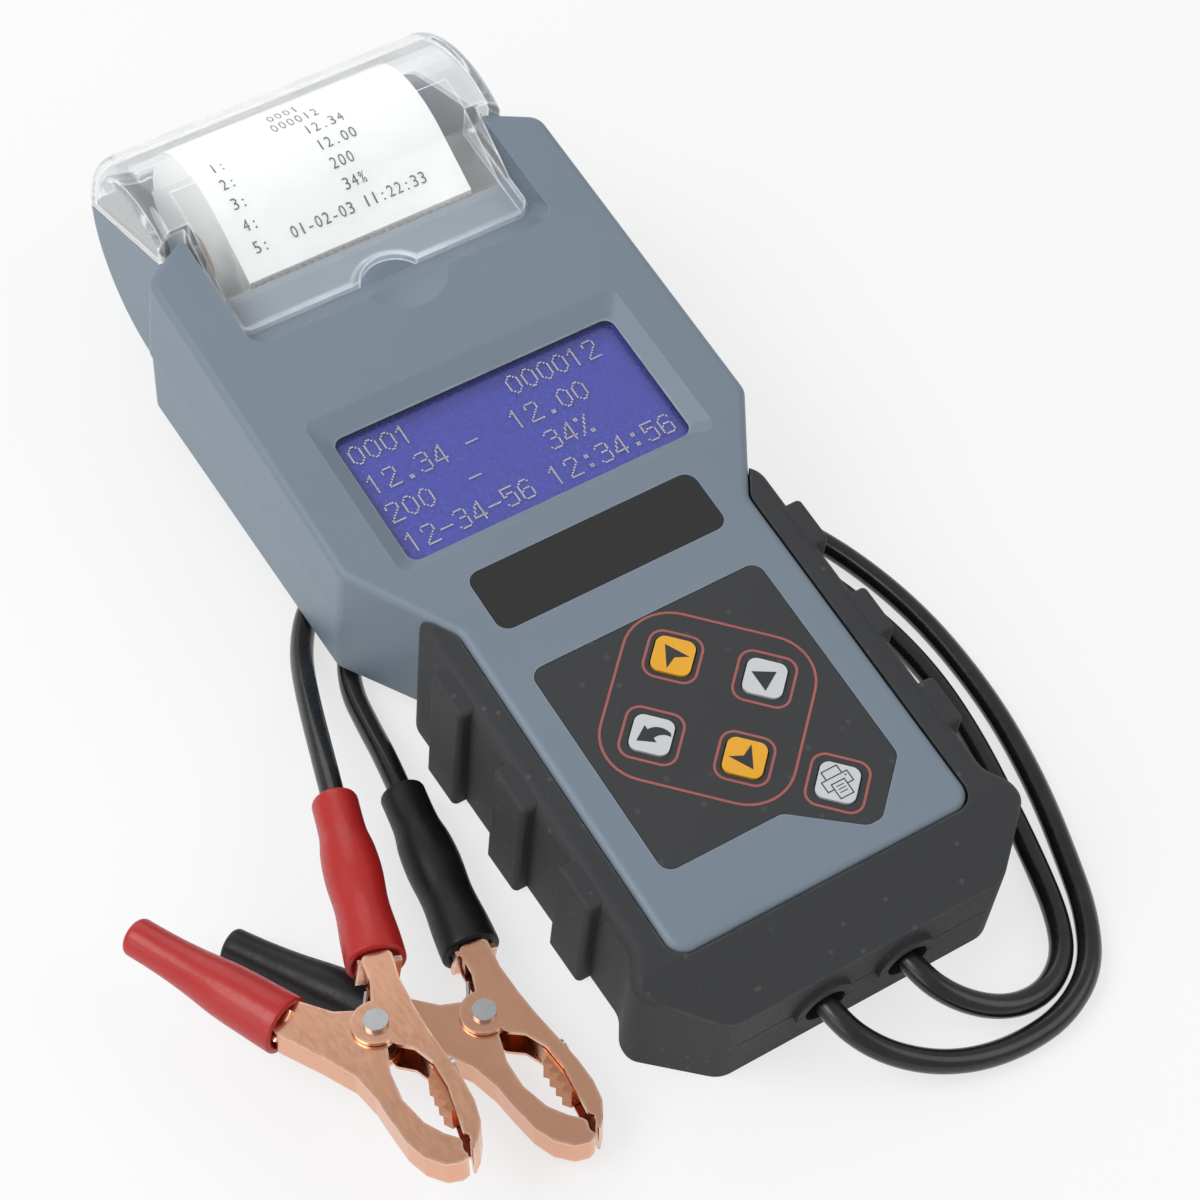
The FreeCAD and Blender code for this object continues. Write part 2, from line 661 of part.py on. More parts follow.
def board_parts():
    """Circuit board, key switches and board screws."""
    points = both_sides([(BOARD_HALF, BOARD_Y0), (BOARD_HALF, BOARD_STEP_Y), (BOARD_WIDE_HALF, BOARD_STEP_Y),
                         (BOARD_WIDE_HALF, BOARD_Y1)])
    low = BOARD_TOP - BOARD_T
    board = prism(points, 1.0, low, BOARD_TOP)
    for bar in board_bosses(BOARD_SCREW_R + SHAFT_FIT, low - 1, BOARD_TOP + 1):
        board = board.cut(bar)
    switches = []
    for x, y in key_places().values():
        half = SWITCH_SIDE / 2
        base = box(x - half, x + half, y - half, y + half, BOARD_TOP, BOARD_TOP + SWITCH_T)
        plunger_top = Vector(x, y, BOARD_TOP + SWITCH_T + 1.4)
        plunger = rod(PLUNGER_R, Vector(x, y, BOARD_TOP + SWITCH_T), plunger_top)
        switches.append(base.fuse(plunger).removeSplitter())
    shanks = board_bosses(BOARD_SCREW_R - SHAFT_FIT, low, BOARD_TOP + 5)
    heads = board_bosses(2 * BOARD_SCREW_R, low - 1.2, low)
    screws = [shank.fuse(head).removeSplitter() for shank, head in zip(shanks, heads)]
    return {"main_pcb": board, "tact_switches": Part.makeCompound(switches),
            "pcb_screws": Part.makeCompound(screws)}


# Printer

def arc_face(points, x0, x1):
    """Solid from a (y, z) profile whose items are points, or a triple for an arc's end, middle and end."""
    edges = []
    last = None
    first = None
    for item in points:
        if len(item) == 3:
            start, middle, end = [Vector(x0, y, z) for y, z in item]
            if last is not None and (start - last).Length > 1e-6:
                edges.append(Part.LineSegment(last, start).toShape())
            edges.append(Part.Arc(start, middle, end).toShape())
        else:
            end = Vector(x0, item[0], item[1])
            start = end
            if last is not None:
                edges.append(Part.LineSegment(last, end).toShape())
        first = first or start
        last = end
    edges.append(Part.LineSegment(last, first).toShape())
    return Part.Face(Part.Wire(edges)).extrude(Vector(x1 - x0, 0, 0))


def tangent_angle(centre, radius, point):
    """Angle, in radians, where the line from a point in front touches the top of a circle."""
    dy = point[0] - centre[0]
    dz = point[1] - centre[1]
    return math.atan2(dz, dy) - math.acos(radius / math.hypot(dy, dz))


def on_circle(centre, radius, angle):
    """Point of a circle at an angle in radians, as (y, z)."""
    return centre[0] + radius * math.cos(angle), centre[1] + radius * math.sin(angle)


def door_front(inset):
    """Front stretch of the door between the shoulders: lip, apron, ramp and the start of the hood."""
    centre = in_face(*bay_centre())
    radius = BAY_R - inset
    ramp = (DOOR_RAMP_Y + 0.5 * inset, DOOR_LIP_Z - inset)
    touch = tangent_angle(centre, radius, ramp)
    top = math.pi / 2
    arc = [on_circle(centre, radius, a) for a in (touch, (touch + top) / 2, top)]
    low = DOOR_SKIRT_Z - (1.0 if inset else 0.0)
    half = DOOR_FRONT_HALF - inset
    lip = DOOR_LIP_Y + inset
    return arc_face([(lip, low), (lip, DOOR_LIP_Z - inset), ramp, arc, (centre[0], low)], -half, half)


def printer_door():
    """Clear door: a rounded hood over the roll and an apron with a thumb notch, hinged at the back."""
    start_y = SHOULDER_END_Y + DOOR_GAP
    behind = on_case(box(-FAR, FAR, start_y, FAR, -FAR, FAR))
    behind_wall = on_case(box(-FAR, FAR, start_y + DOOR_T, FAR, -FAR, FAR))
    wide = drum(0).common(above_door_line(DOOR_GAP)).common(behind)
    wide_room = drum(BAY_WALL).common(behind_wall)
    ring = rod(THUMB_R + DOOR_T, Vector(0, THUMB_Y, DOOR_SKIRT_Z), Vector(0, THUMB_Y, DOOR_LIP_Z))
    ring = ring.common(box(-FAR, FAR, DOOR_LIP_Y, FAR, -FAR, FAR))
    notch = rod(THUMB_R, Vector(0, THUMB_Y, DOOR_SKIRT_Z - 2), Vector(0, THUMB_Y, DOOR_LIP_Z + 2))
    plan = prism(rectangle(DOOR_FRONT_HALF, DOOR_LIP_Y, FAR), POCKET_R, -FAR, FAR)
    door = fused([on_case(door_front(0).common(plan)), wide]).cut(on_case(door_front(DOOR_T))).cut(wide_room)
    door = fused([door, on_case(ring)]).cut(on_case(notch))
    own = [k.cut(drum(BAY_WALL)) for k in knuckles(1, KNUCKLE_R)]
    for cutter in knuckles(0, KNUCKLE_R + DOOR_GAP, DOOR_GAP / 2):
        door = door.cut(cutter)
    door = fused([door] + own)
    for cutter in knuckles(1, PIN_R + PIN_FIT, 1):
        door = door.cut(cutter)
    return door


def hinge_pins():
    """Two steel pins through the door's and the bay's knuckles."""
    y, z = hinge_axis()
    x0 = KNUCKLE_XS[0]
    x1 = KNUCKLE_XS[-1]
    return Part.makeCompound([cross_rod(PIN_R, s * x0, s * x1, y, z) for s in (-1, 1)])


def paper_parts():
    """Roll, core, spindle and the web from the roll down to the platen."""
    y, z = bay_centre()
    half = ROLL_WIDTH / 2
    roll = cross_rod(ROLL_R, -half, half, y, z).cut(cross_rod(CORE_R, -half - 1, half + 1, y, z))
    core = cross_rod(CORE_R, -half, half, y, z)
    core = core.cut(cross_rod(SPINDLE_R + SPINDLE_FIT, -half - 1, half + 1, y, z))
    spindle = cross_rod(SPINDLE_R, -BAY_HALF + 0.9, BAY_HALF - 0.9, y, z)
    centre = in_face(y, z)
    inner = ROLL_R + PAPER_GAP
    outer = inner + PAPER_T
    down_y = web_front_y()
    bend = (down_y + PAPER_T, POCKET_Z + TEAR_TOOTH + PAPER_T)
    angle = tangent_angle(centre, inner, bend)
    back = math.radians(35)
    middle = (angle + back) / 2
    touch = on_circle(centre, inner, angle)
    lift = (math.cos(angle) * PAPER_T, math.sin(angle) * PAPER_T)
    web = arc_face([
        (down_y + PAPER_T, PLATEN_Z),
        (down_y + PAPER_T, bend[1] - PAPER_T),
        touch,
        [on_circle(centre, inner, a) for a in (angle, middle, back)],
        [on_circle(centre, outer, a) for a in (back, middle, angle)],
        (bend[0] + lift[0] - PAPER_T / 2, bend[1] + lift[1] - PAPER_T / 2),
        (down_y, bend[1] - PAPER_T),
        (down_y, PLATEN_Z),
    ], -half, half)
    return {"paper_roll": roll, "paper_core": core, "roll_spindle": spindle, "paper_web": on_case(web)}


def gear(teeth, phase, bore, x0):
    """Spur gear on an axis along x through the origin, with a tooth at the phase angle in radians."""
    pitch_r = GEAR_MODULE * teeth / 2
    base_r = pitch_r * math.cos(math.radians(20))
    tip_r = pitch_r + 0.8 * GEAR_MODULE
    root_r = pitch_r - 1.1 * GEAR_MODULE
    flank = math.tan(math.radians(20)) - math.radians(20)
    half = math.pi / (2 * teeth) - GEAR_BACKLASH / (2 * pitch_r) + flank
    radii = [max(base_r, root_r), (base_r + tip_r) / 2, tip_r]
    corners = []
    for i in range(teeth):
        middle = phase + 2 * math.pi * i / teeth
        rise = []
        for radius in radii:
            lean = math.acos(min(1.0, base_r / radius))
            rise.append((radius, half - (math.tan(lean) - lean)))
        if root_r < base_r:
            rise.insert(0, (root_r, rise[0][1]))
        corners += [(r, middle - a) for r, a in rise] + [(r, middle + a) for r, a in reversed(rise)]
    points = [Vector(x0, r * math.cos(a), r * math.sin(a)) for r, a in corners]
    blank = Part.Face(Part.makePolygon(points + points[:1])).extrude(Vector(GEAR_WIDTH, 0, 0))
    return blank.cut(cross_rod(bore, x0 - 1, x0 + GEAR_WIDTH + 1, 0, 0)) if bore else blank


def gear_axes():
    """Platen, idler and pinion axes in the face frame, as (y, z), and the tooth phases."""
    first = GEAR_MODULE * (PLATEN_TEETH + IDLER_TEETH) / 2
    second = GEAR_MODULE * (IDLER_TEETH + PINION_TEETH) / 2
    to_idler = math.radians(IDLER_ANGLE)
    to_pinion = math.radians(PINION_ANGLE)
    platen = (PLATEN_Y, PLATEN_Z)
    idler = on_circle(platen, first, to_idler)
    pinion = on_circle(idler, second, to_pinion)
    idler_phase = to_idler + math.pi + math.pi / IDLER_TEETH
    step = 2 * math.pi / IDLER_TEETH
    behind = (to_pinion - idler_phase) % step
    pinion_phase = to_pinion + math.pi + behind * IDLER_TEETH / PINION_TEETH + math.pi / PINION_TEETH
    return platen, idler, pinion, (to_idler, idler_phase, pinion_phase)


def printer_parts():
    """Frame, platen, print head, motor, gears and tear bar, in the face frame."""
    platen, idler, pinion, phases = gear_axes()
    top = POCKET_Z - POCKET_FLOOR_T
    out = FRAME_IN + FRAME_T
    gear_x = out + GEAR_SIDE_GAP
    low = pinion[1] - MOTOR_R
    left = pinion[0] - MOTOR_R
    cheek = [(PLATEN_Y - 9.5, top), (PLATEN_Y + 3.5, top), (PLATEN_Y + 3.5, PLATEN_Z - 4), (idler[0] + 4, low),
             (left, low), (left, pinion[1] + MOTOR_R)]
    wall_y = platen[0] - PLATEN_R - PAPER_GAP - HEAD_T
    frame = fused([
        side_slab(cheek, FRAME_IN, out),
        side_slab(cheek, -out, -FRAME_IN),
        box(-FRAME_IN, FRAME_IN, wall_y - 1.5, wall_y, pinion[1] + MOTOR_R + 1, top),
    ])
    frame = frame.cut(cross_rod(PLATEN_SHAFT_R + SHAFT_FIT, -FAR, FAR, *platen))
    frame = frame.cut(cross_rod(MOTOR_SHAFT_R + 1, 0, FAR, *pinion))
    head = box(-PLATEN_HALF + 2, PLATEN_HALF - 2, wall_y, wall_y + HEAD_T, PLATEN_Z - 4, PLATEN_Z + 4)
    roller = cross_rod(PLATEN_R, -PLATEN_HALF, PLATEN_HALF, *platen)
    shaft = cross_rod(PLATEN_SHAFT_R, -out - 1, gear_x + GEAR_WIDTH, *platen)
    roller = roller.fuse(shaft).removeSplitter()
    motor = cross_rod(MOTOR_R, FRAME_IN - MOTOR_LENGTH, FRAME_IN, *pinion)
    motor = motor.cut(cross_rod(MOTOR_SHAFT_R + SHAFT_FIT, FRAME_IN - 10, FRAME_IN + 1, *pinion))
    idler_pin = cross_rod(PLATEN_SHAFT_R, out, gear_x + GEAR_WIDTH + 0.5, *idler)
    shapes = {
        "printer_frame": fused([frame, idler_pin]),
        "print_head": head,
        "platen_roller": roller,
        "printer_motor": motor,
        "platen_gear": moved_yz(gear(PLATEN_TEETH, phases[0], PLATEN_SHAFT_R, gear_x), platen),
        "idler_gear": moved_yz(gear(IDLER_TEETH, phases[1], PLATEN_SHAFT_R + SHAFT_FIT, gear_x), idler),
        "tear_bar": tear_bar(),
    }
    small = moved_yz(gear(PINION_TEETH, phases[2], 0, gear_x), pinion)
    shaft = cross_rod(MOTOR_SHAFT_R, FRAME_IN - 9, gear_x + GEAR_WIDTH, *pinion)
    shapes["motor_pinion"] = fused([small, shaft])
    return shapes


def moved_yz(shape, place):
    """Copy of a shape moved across x."""
    return shape.translated(Vector(0, place[0], place[1]))


def tear_bar():
    """Serrated strip at the paper slot."""
    half = ROLL_WIDTH / 2
    teeth = int(ROLL_WIDTH / TEAR_PITCH)
    low = POCKET_Z - POCKET_FLOOR_T
    points = [Vector(-half, SLOT_Y, low), Vector(-half, SLOT_Y, POCKET_Z)]
    for i in range(teeth):
        x = -half + i * ROLL_WIDTH / teeth
        points.append(Vector(x + ROLL_WIDTH / teeth / 2, SLOT_Y, POCKET_Z + TEAR_TOOTH))
        points.append(Vector(x + ROLL_WIDTH / teeth, SLOT_Y, POCKET_Z))
    points.append(Vector(half, SLOT_Y, low))
    return Part.Face(Part.makePolygon(points + points[:1])).extrude(Vector(0, TEAR_T, 0))


# Batteries and fasteners

def cell_end_y():
    """Far end of the battery cells."""
    return CELL_Y0 + CELL_LENGTH


def battery_ribs():
    """Walls across the battery compartment that carry the contacts."""
    half = HEAD_HALF - WALL
    z0 = BACK_HEIGHT + WALL / 2
    z1 = BACK_HEIGHT + WALL + RIB_HEIGHT - 2
    near = CELL_Y0 - CONTACT_GAP - CONTACT_T
    far = cell_end_y() + CONTACT_GAP + CONTACT_T
    return [box(-half, half, near - RIB_T, near, z0, z1), box(-half, half, far, far + RIB_THIN, z0, z1)]


def cover_space(shrink):
    """Ledge recess and opening of the battery cover, less a clearance."""
    y0 = CELL_Y0 - RIB_T - COVER_LAP
    y1 = cell_end_y() + RIB_THIN
    half = COVER_HALF - shrink
    lap = COVER_LAP + shrink
    ledge = box(-half, half, y0 + shrink, y1 - shrink, BACK_HEIGHT, BACK_HEIGHT + COVER_T - shrink / 3)
    hatch = box(-COVER_HALF + lap, COVER_HALF - lap, y0 + lap + RIB_T, y1 - lap, BACK_HEIGHT,
                BACK_HEIGHT + WALL)
    return [ledge, hatch]


def cover_screw_bars(radius, z0, z1):
    """Bars at the battery cover's screws."""
    y = CELL_Y0 - CONTACT_GAP - CONTACT_T - RIB_T / 2
    return [rod(radius, Vector(s * COVER_SCREW_X, y, z0), Vector(s * COVER_SCREW_X, y, z1)) for s in (-1, 1)]


def battery_parts():
    """Cells, contacts, cover and its screws."""
    cells = []
    contacts = []
    z = BACK_HEIGHT + WALL + CELL_R + 0.05
    near = CELL_Y0 - CONTACT_GAP
    far = cell_end_y() + CONTACT_GAP
    for i in range(CELL_COUNT):
        x = (i - (CELL_COUNT - 1) / 2) * CELL_PITCH
        can = rod(CELL_R, Vector(x, CELL_Y0, z), Vector(x, cell_end_y() - 1, z))
        nub = rod(CELL_R / 2.6, Vector(x, CELL_Y0, z), Vector(x, cell_end_y(), z))
        turned = can.fuse(nub).removeSplitter()
        if i % 2:
            turned = turned.copy()
            turned.rotate(Vector(x, (CELL_Y0 + cell_end_y()) / 2, z), Vector(0, 0, 1), 180)
        cells.append(turned)
        half = CELL_R / 1.6
        contacts.append(box(x - half, x + half, near - CONTACT_T, near, z - half, z + half))
        contacts.append(box(x - half, x + half, far, far + CONTACT_T, z - half, z + half))
    cover = fused(cover_space(COVER_FIT))
    head_low = BACK_HEIGHT
    for bar in cover_screw_bars(SCREW_R + SHAFT_FIT, 0, FAR / 2):
        cover = cover.cut(bar)
    for bar in cover_screw_bars(SCREW_HEAD_R / 1.2 + SHAFT_FIT, 0, head_low + COVER_T / 2):
        cover = cover.cut(bar)
    shanks = cover_screw_bars(SCREW_R - SHAFT_FIT, head_low, head_low + COVER_T + 7)
    heads = cover_screw_bars(SCREW_HEAD_R / 1.2, head_low, head_low + COVER_T / 2)
    screws = [a.fuse(b).removeSplitter() for a, b in zip(shanks, heads)]
    return {
        "battery_cells": Part.makeCompound(cells),
        "battery_contacts": Part.makeCompound(contacts),
        "battery_cover": cover,
        "cover_screws": Part.makeCompound(screws),
    }


def case_screws():
    """Four screws from the back."""
    seat = BACK_HEIGHT + SCREW_HEAD_T + 1
    heads = boss_columns(SCREW_HEAD_R, seat - SCREW_HEAD_T, seat)
    shanks = boss_columns(SCREW_R - SHAFT_FIT, seat, PARTING_HEIGHT + 7)
    return Part.makeCompound([a.fuse(b).removeSplitter() for a, b in zip(heads, shanks)])


# Leads

def cable_gland(side):
    """Tapered gland at the grip's end wall."""
    x = side * LEAD_X
    wall_in = FACE_END_Y + WALL
    flange = rod(GLAND_FLANGE_R, Vector(x, wall_in + 2, LEAD_Z), Vector(x, wall_in + 0.3, LEAD_Z))
    neck = rod(GLAND_R - SHAFT_FIT, Vector(x, wall_in + 2, LEAD_Z), Vector(x, FACE_END_Y - 2, LEAD_Z))
    length = FACE_END_Y - 2 - GLAND_END_Y
    taper = Part.makeCone(GLAND_R - SHAFT_FIT, GLAND_TIP_R, length, Vector(x, FACE_END_Y - 2, LEAD_Z),
                          Vector(0, -1, 0))
    return on_case(fused([flange, neck, taper]))


def lead_tube(name, side, route, clamp):
    """Lead from its gland, over the route's points, into the clamp's cable sleeve."""
    start = CASE_PLACE.multVec(Vector(side * LEAD_X, GLAND_END_Y, LEAD_Z))
    aim = CASE_PLACE.Rotation.multVec(Vector(0, -1, 0))
    arm = arm_direction(FIXED_ARM_ANGLE)
    inside = clamp.multVec(FIXED_ARM + arm * (TANG_LENGTH + CRIMP_LENGTH))
    outside = clamp.multVec(FIXED_ARM + arm * (sleeve_end(True) + 3 * LEAD_R))
    laid = [Vector(p[0], p[1], p[2] if len(p) > 2 else LEAD_FLOOR_Z) for p in route]
    points = [start, start + aim * LEAD_FIRST_RUN] + laid + [outside, inside]
    edges = []
    last = points[0]
    radii = []
    for i in range(1, len(points) - 1):
        corner = points[i]
        back = points[i - 1] - corner
        ahead = points[i + 1] - corner
        turn = math.pi - back.getAngle(ahead)
        reach = 0.45 * min(back.Length, ahead.Length)
        radius = reach / math.tan(turn / 2)
        radii.append(radius)
        back.normalize()
        ahead.normalize()
        middle = back + ahead
        middle.normalize()
        peak = corner + middle * (radius / math.cos(turn / 2) - radius)
        edges.append(Part.LineSegment(last, corner + back * reach).toShape())
        edges.append(Part.Arc(corner + back * reach, peak, corner + ahead * reach).toShape())
        last = corner + ahead * reach
    edges.append(Part.LineSegment(last, points[-1]).toShape())
    wire = Part.Wire(edges)
    ring = Part.Wire([Part.Circle(points[0], points[1] - points[0], LEAD_R).toShape()])
    tube = wire.makePipeShell([ring], True, False)
    ideal = math.pi * LEAD_R ** 2 * wire.Length
    print(name, "length", round(wire.Length, 1), "least radius", round(min(radii), 1),
          "volume ratio", round(tube.Volume / ideal, 4))
    print(name, "radii", [round(r) for r in radii])
    return tube


# Clamps

def arm_direction(angle):
    """Unit vector in a clamp's plane."""
    return Vector(math.cos(math.radians(angle)), math.sin(math.radians(angle)), 0)


def sleeve_profile(fixed):
    """Distance along the arm and outside radius of a handle sleeve."""
    if fixed:
        return [(0, 6.3), (6, 6.1), (14, 5.6), (22, 6.0), (28, 5.8), (33, 5.0), (42, 4.9)]
    return [(0, 6.3), (6, 6.1), (15, 5.7), (23, 4.8), (30, 4.3), (39, 4.2)]


def sleeve_end(fixed):
    """Far end of a sleeve along its arm."""
    return SLEEVE_START + sleeve_profile(fixed)[-1][0]


def along_arm(shape, arm, angle):
    """Turn a shape that lies along z on to an arm."""
    turned = shape.copy()
    turn = Rotation(Vector(0, 0, 1), arm_direction(angle))
    turned.Placement = Placement(arm, turn).multiply(turned.Placement)
    return turned


def sleeve(fixed):
    """Soft sleeve on a handle, swollen where it covers the tang."""
    outside = sleeve_profile(fixed)
    tang = TANG_LENGTH + CRIMP_LENGTH if fixed else MOVING_TANG_LENGTH + 1
    bore = LEAD_R + LEAD_BORE_FIT
    end = outside[-1][0] + (1 if fixed else -2)
    points = [Vector(r, 0, s) for s, r in outside]
    points += [Vector(bore, 0, outside[-1][0])] if fixed else [Vector(0, 0, outside[-1][0]), Vector(0, 0, end)]
    points += [] if fixed else [Vector(bore, 0, end)]
    points += [Vector(bore, 0, tang - SLEEVE_START), Vector(SLEEVE_BORE_R, 0, tang - SLEEVE_START),
               Vector(SLEEVE_BORE_R, 0, 0)]
    body = Part.Face(Part.makePolygon(points + points[:1])).revolve(Vector(0, 0, 0), Vector(0, 0, 1), 360)
    body = body.translated(Vector(0, 0, SLEEVE_START))
    arm, angle = (FIXED_ARM, FIXED_ARM_ANGLE) if fixed else (MOVING_ARM, MOVING_ARM_ANGLE)
    return along_arm(body, arm, angle)


def jaw_edges(fixed):
    """Outer and inner edge of a jaw half, from the handle to the tip and back."""
    if fixed:
        outer = [(9.0, 14.8), (8.0, 7.4), (8.2, 0), (8.7, -6), (9.6, -12.5), (10.4, -19), (10.6, -24.5),
                 (9.9, -29), (8.0, -32.4), (5.9, -34.6)]
        inner = [(6.1, -32.6), (7.0, -31.3), (5.9, -30), (6.4, -25.5), (7.1, -19), (6.6, -13), (4.6, -8.6),
                 (1.2, -6.0), (0.6, 4.0), (2.4, 9.3), (2.7, 15.6)]
    else:
        outer = [(-19.2, 7.4), (-12.4, -2), (-7.9, -9), (-6.2, -15), (-5.4, -21), (-4.4, -27), (-2.6, -31.3),
                 (0.4, -34.4), (3.4, -35.2)]
        inner = [(5.4, -34.4), (4.6, -32.8), (5.3, -31), (4.8, -29.9), (2.8, -28), (0.2, -24.2), (-1.6, -18),
                 (-1.5, -11.5), (0.6, -4), (-1, 4.2), (-6.5, 6.4), (-12.4, 12.2)]
    return outer, inner


def jaw(fixed):
    """Half of a clamp: a pressed channel with an ear at the pivot and a tang for the sleeve."""
    outer, inner = jaw_edges(fixed)
    half = JAW_WIDTH / 2 - (0 if fixed else JAW_T + JAW_FIT)
    side = -1 if fixed else 1
    plate = prism(outer + inner, 1.5, -half, half)
    ear = rod(EAR_R, Vector(0, 0, -half), Vector(0, 0, half))
    hollow = [(x + side * JAW_T, y + JAW_T) for x, y in outer] + [(x + side * 12, y) for x, y in inner]
    gap = half - JAW_T
    channel = Part.Face(rounded_wire(hollow, 1.0, -gap)).extrude(Vector(0, 0, 2 * gap))
    core = rod(EAR_R + 1, Vector(0, 0, -gap), Vector(0, 0, gap))
    body = fused([plate, ear]).cut(channel).cut(core)
    arm, angle = (FIXED_ARM, FIXED_ARM_ANGLE) if fixed else (MOVING_ARM, MOVING_ARM_ANGLE)
    length = TANG_LENGTH if fixed else MOVING_TANG_LENGTH
    tang = squared_tang(arm, angle, length)
    web = box(-half, half, -3.4, 3.4, -1.2, 0)
    body = fused([body, tang, along_arm(web, arm, angle)])
    return body.cut(rod(RIVET_R + SHAFT_FIT, Vector(0, 0, -JAW_WIDTH), Vector(0, 0, JAW_WIDTH)))


def squared_tang(arm, angle, length):
    """Flat tang inside a sleeve."""
    ahead = arm_direction(angle)
    across = Vector(-ahead.y, ahead.x, 0)
    corners = []
    for s, w in ((-2, -1), (length, -1), (length, 1), (-2, 1)):
        corners.append(arm + ahead * s + across * (w * TANG_WIDTH / 2) - Vector(0, 0, TANG_T / 2))
    return Part.Face(Part.makePolygon(corners + corners[:1])).extrude(Vector(0, 0, TANG_T))


def biarcs(points, tangents):
    """Pairs of arcs that join the points with the given tangents."""
    edges = []
    for p0, p1, t0, t1 in zip(points, points[1:], tangents, tangents[1:]):
        v = p1 - p0
        a = 2 * (1 - t0.dot(t1))
        b = 2 * v.dot(t0 + t1)
        reach = (-b + math.sqrt(b * b + 4 * a * v.dot(v))) / (2 * a)
        joint = (p0 + p1 + (t0 - t1) * reach) * 0.5
        for start, end, peak in ((p0, joint, p0 + t0 * reach), (joint, p1, p1 - t1 * reach)):
            middle = (start + end) * 0.5
            rise = peak - middle
            half = (end - start).Length / 2
            sag = half * math.tan(math.atan2(rise.Length, half) / 2)
            rise.normalize()
            edges.append(Part.Arc(start, middle + rise * sag, end).toShape())
    return edges


def torsion_spring(name):
    """Coil round the rivet with a leg along each handle, one unbroken wire."""
    steps = SPRING_TURNS * 4 + 3
    begin = math.radians(SPRING_LEG_MOVING - 90)
    total = 2 * math.pi * (SPRING_TURNS + 0.5) + math.radians(SPRING_LEG_MOVING - SPRING_LEG_FIXED)
    rise = SPRING_PITCH / (2 * math.pi)
    points = []
    tangents = []
    for i in range(steps + 1):
        angle = begin - total * i / steps
        height = rise * total * (i / steps - 0.5)
        points.append(Vector(SPRING_R * math.cos(angle), SPRING_R * math.sin(angle), height))
        tangent = Vector(SPRING_R * math.sin(angle), -SPRING_R * math.cos(angle), rise)
        tangent.normalize()
        tangents.append(tangent)
    edges = biarcs(points, tangents)
    first = points[0] - tangents[0] * SPRING_LEG
    last = points[-1] + tangents[-1] * SPRING_LEG
    edges = [Part.LineSegment(first, points[0]).toShape()] + edges
    edges.append(Part.LineSegment(points[-1], last).toShape())
    wire = Part.Wire(edges)
    ring = Part.Wire([Part.Circle(first, tangents[0], SPRING_WIRE_R).toShape()])
    coil = wire.makePipeShell([ring], True, False)
    marks = wire.discretize(Distance=0.4)
    near = min((a - b).Length for i, a in enumerate(marks) for b in marks[i + 12:])
    ideal = math.pi * SPRING_WIRE_R ** 2 * wire.Length
    print(name, "self gap", round(near - 2 * SPRING_WIRE_R, 2), "volume ratio", round(coil.Volume / ideal, 4))
    return coil


def contact_strip():
    """Toothed strip inside the fixed jaw."""
    outer, _ = jaw_edges(True)
    back = [(x - JAW_T - STRIP_FIT, y + JAW_T) for x, y in outer[3:7]]
    front = [(back[-1][0] - 3.8, back[-1][1] - 0.4)]
    for i in range(4):
        y = back[-1][1] + 2.4 * i + 1.2
        front += [(back[-1][0] - STRIP_REACH, y), (back[-1][0] - STRIP_REACH + 1.4, y + 0.8)]
    front += [(back[0][0] - STRIP_T - 0.6, back[0][1] - 6), (back[0][0] - STRIP_T, back[0][1])]
    half = STRIP_WIDTH / 2
    corners = [Vector(x, y, -half) for x, y in back + front]
    return Part.Face(Part.makePolygon(corners + corners[:1])).extrude(Vector(0, 0, STRIP_WIDTH))


def strip_rivet(grow=0.0):
    """Rivet that holds the contact strip to the back of the fixed jaw, with its washer."""
    outer, _ = jaw_edges(True)
    (x0, y0), (x1, y1) = outer[4], outer[5]
    x = x0 + (x1 - x0) * (STRIP_RIVET_Y - y0) / (y1 - y0)
    shank = rod(STRIP_RIVET_R + grow, Vector(x - 3, STRIP_RIVET_Y, 0), Vector(x + 0.5, STRIP_RIVET_Y, 0))
    if grow:
        return shank
    head = rod(STRIP_HEAD_R, Vector(x + 0.35, STRIP_RIVET_Y, 0), Vector(x + 1.2, STRIP_RIVET_Y, 0))
    return fused([shank, head])


def clamp_parts(colour):
    """All pieces of one clamp in its own frame."""
    rivet = fused([
        rod(RIVET_R, Vector(0, 0, -JAW_WIDTH / 2 - RIVET_HEAD_T), Vector(0, 0, JAW_WIDTH / 2 + RIVET_HEAD_T)),
        rod(RIVET_HEAD_R, Vector(0, 0, JAW_WIDTH / 2), Vector(0, 0, JAW_WIDTH / 2 + RIVET_HEAD_T)),
        rod(RIVET_HEAD_R, Vector(0, 0, -JAW_WIDTH / 2), Vector(0, 0, -JAW_WIDTH / 2 - RIVET_HEAD_T)),
    ])
    hole = strip_rivet(SHAFT_FIT)
    crimp = rod(CRIMP_R, Vector(0, 0, TANG_LENGTH), Vector(0, 0, TANG_LENGTH + CRIMP_LENGTH))
    shapes = {
        "fixed_jaw": jaw(True).cut(hole),
        "moving_jaw": jaw(False),
        "pivot_rivet": rivet,
        "spring": torsion_spring(colour + "_spring"),
        "cable_sleeve": sleeve(True),
        "free_sleeve": sleeve(False),
        "contact_strip": contact_strip().cut(hole),
        "strip_rivet": strip_rivet(),
        "crimp": along_arm(crimp, FIXED_ARM, FIXED_ARM_ANGLE),
    }
    return {colour + "_" + name: shape for name, shape in shapes.items()}


# Assembly

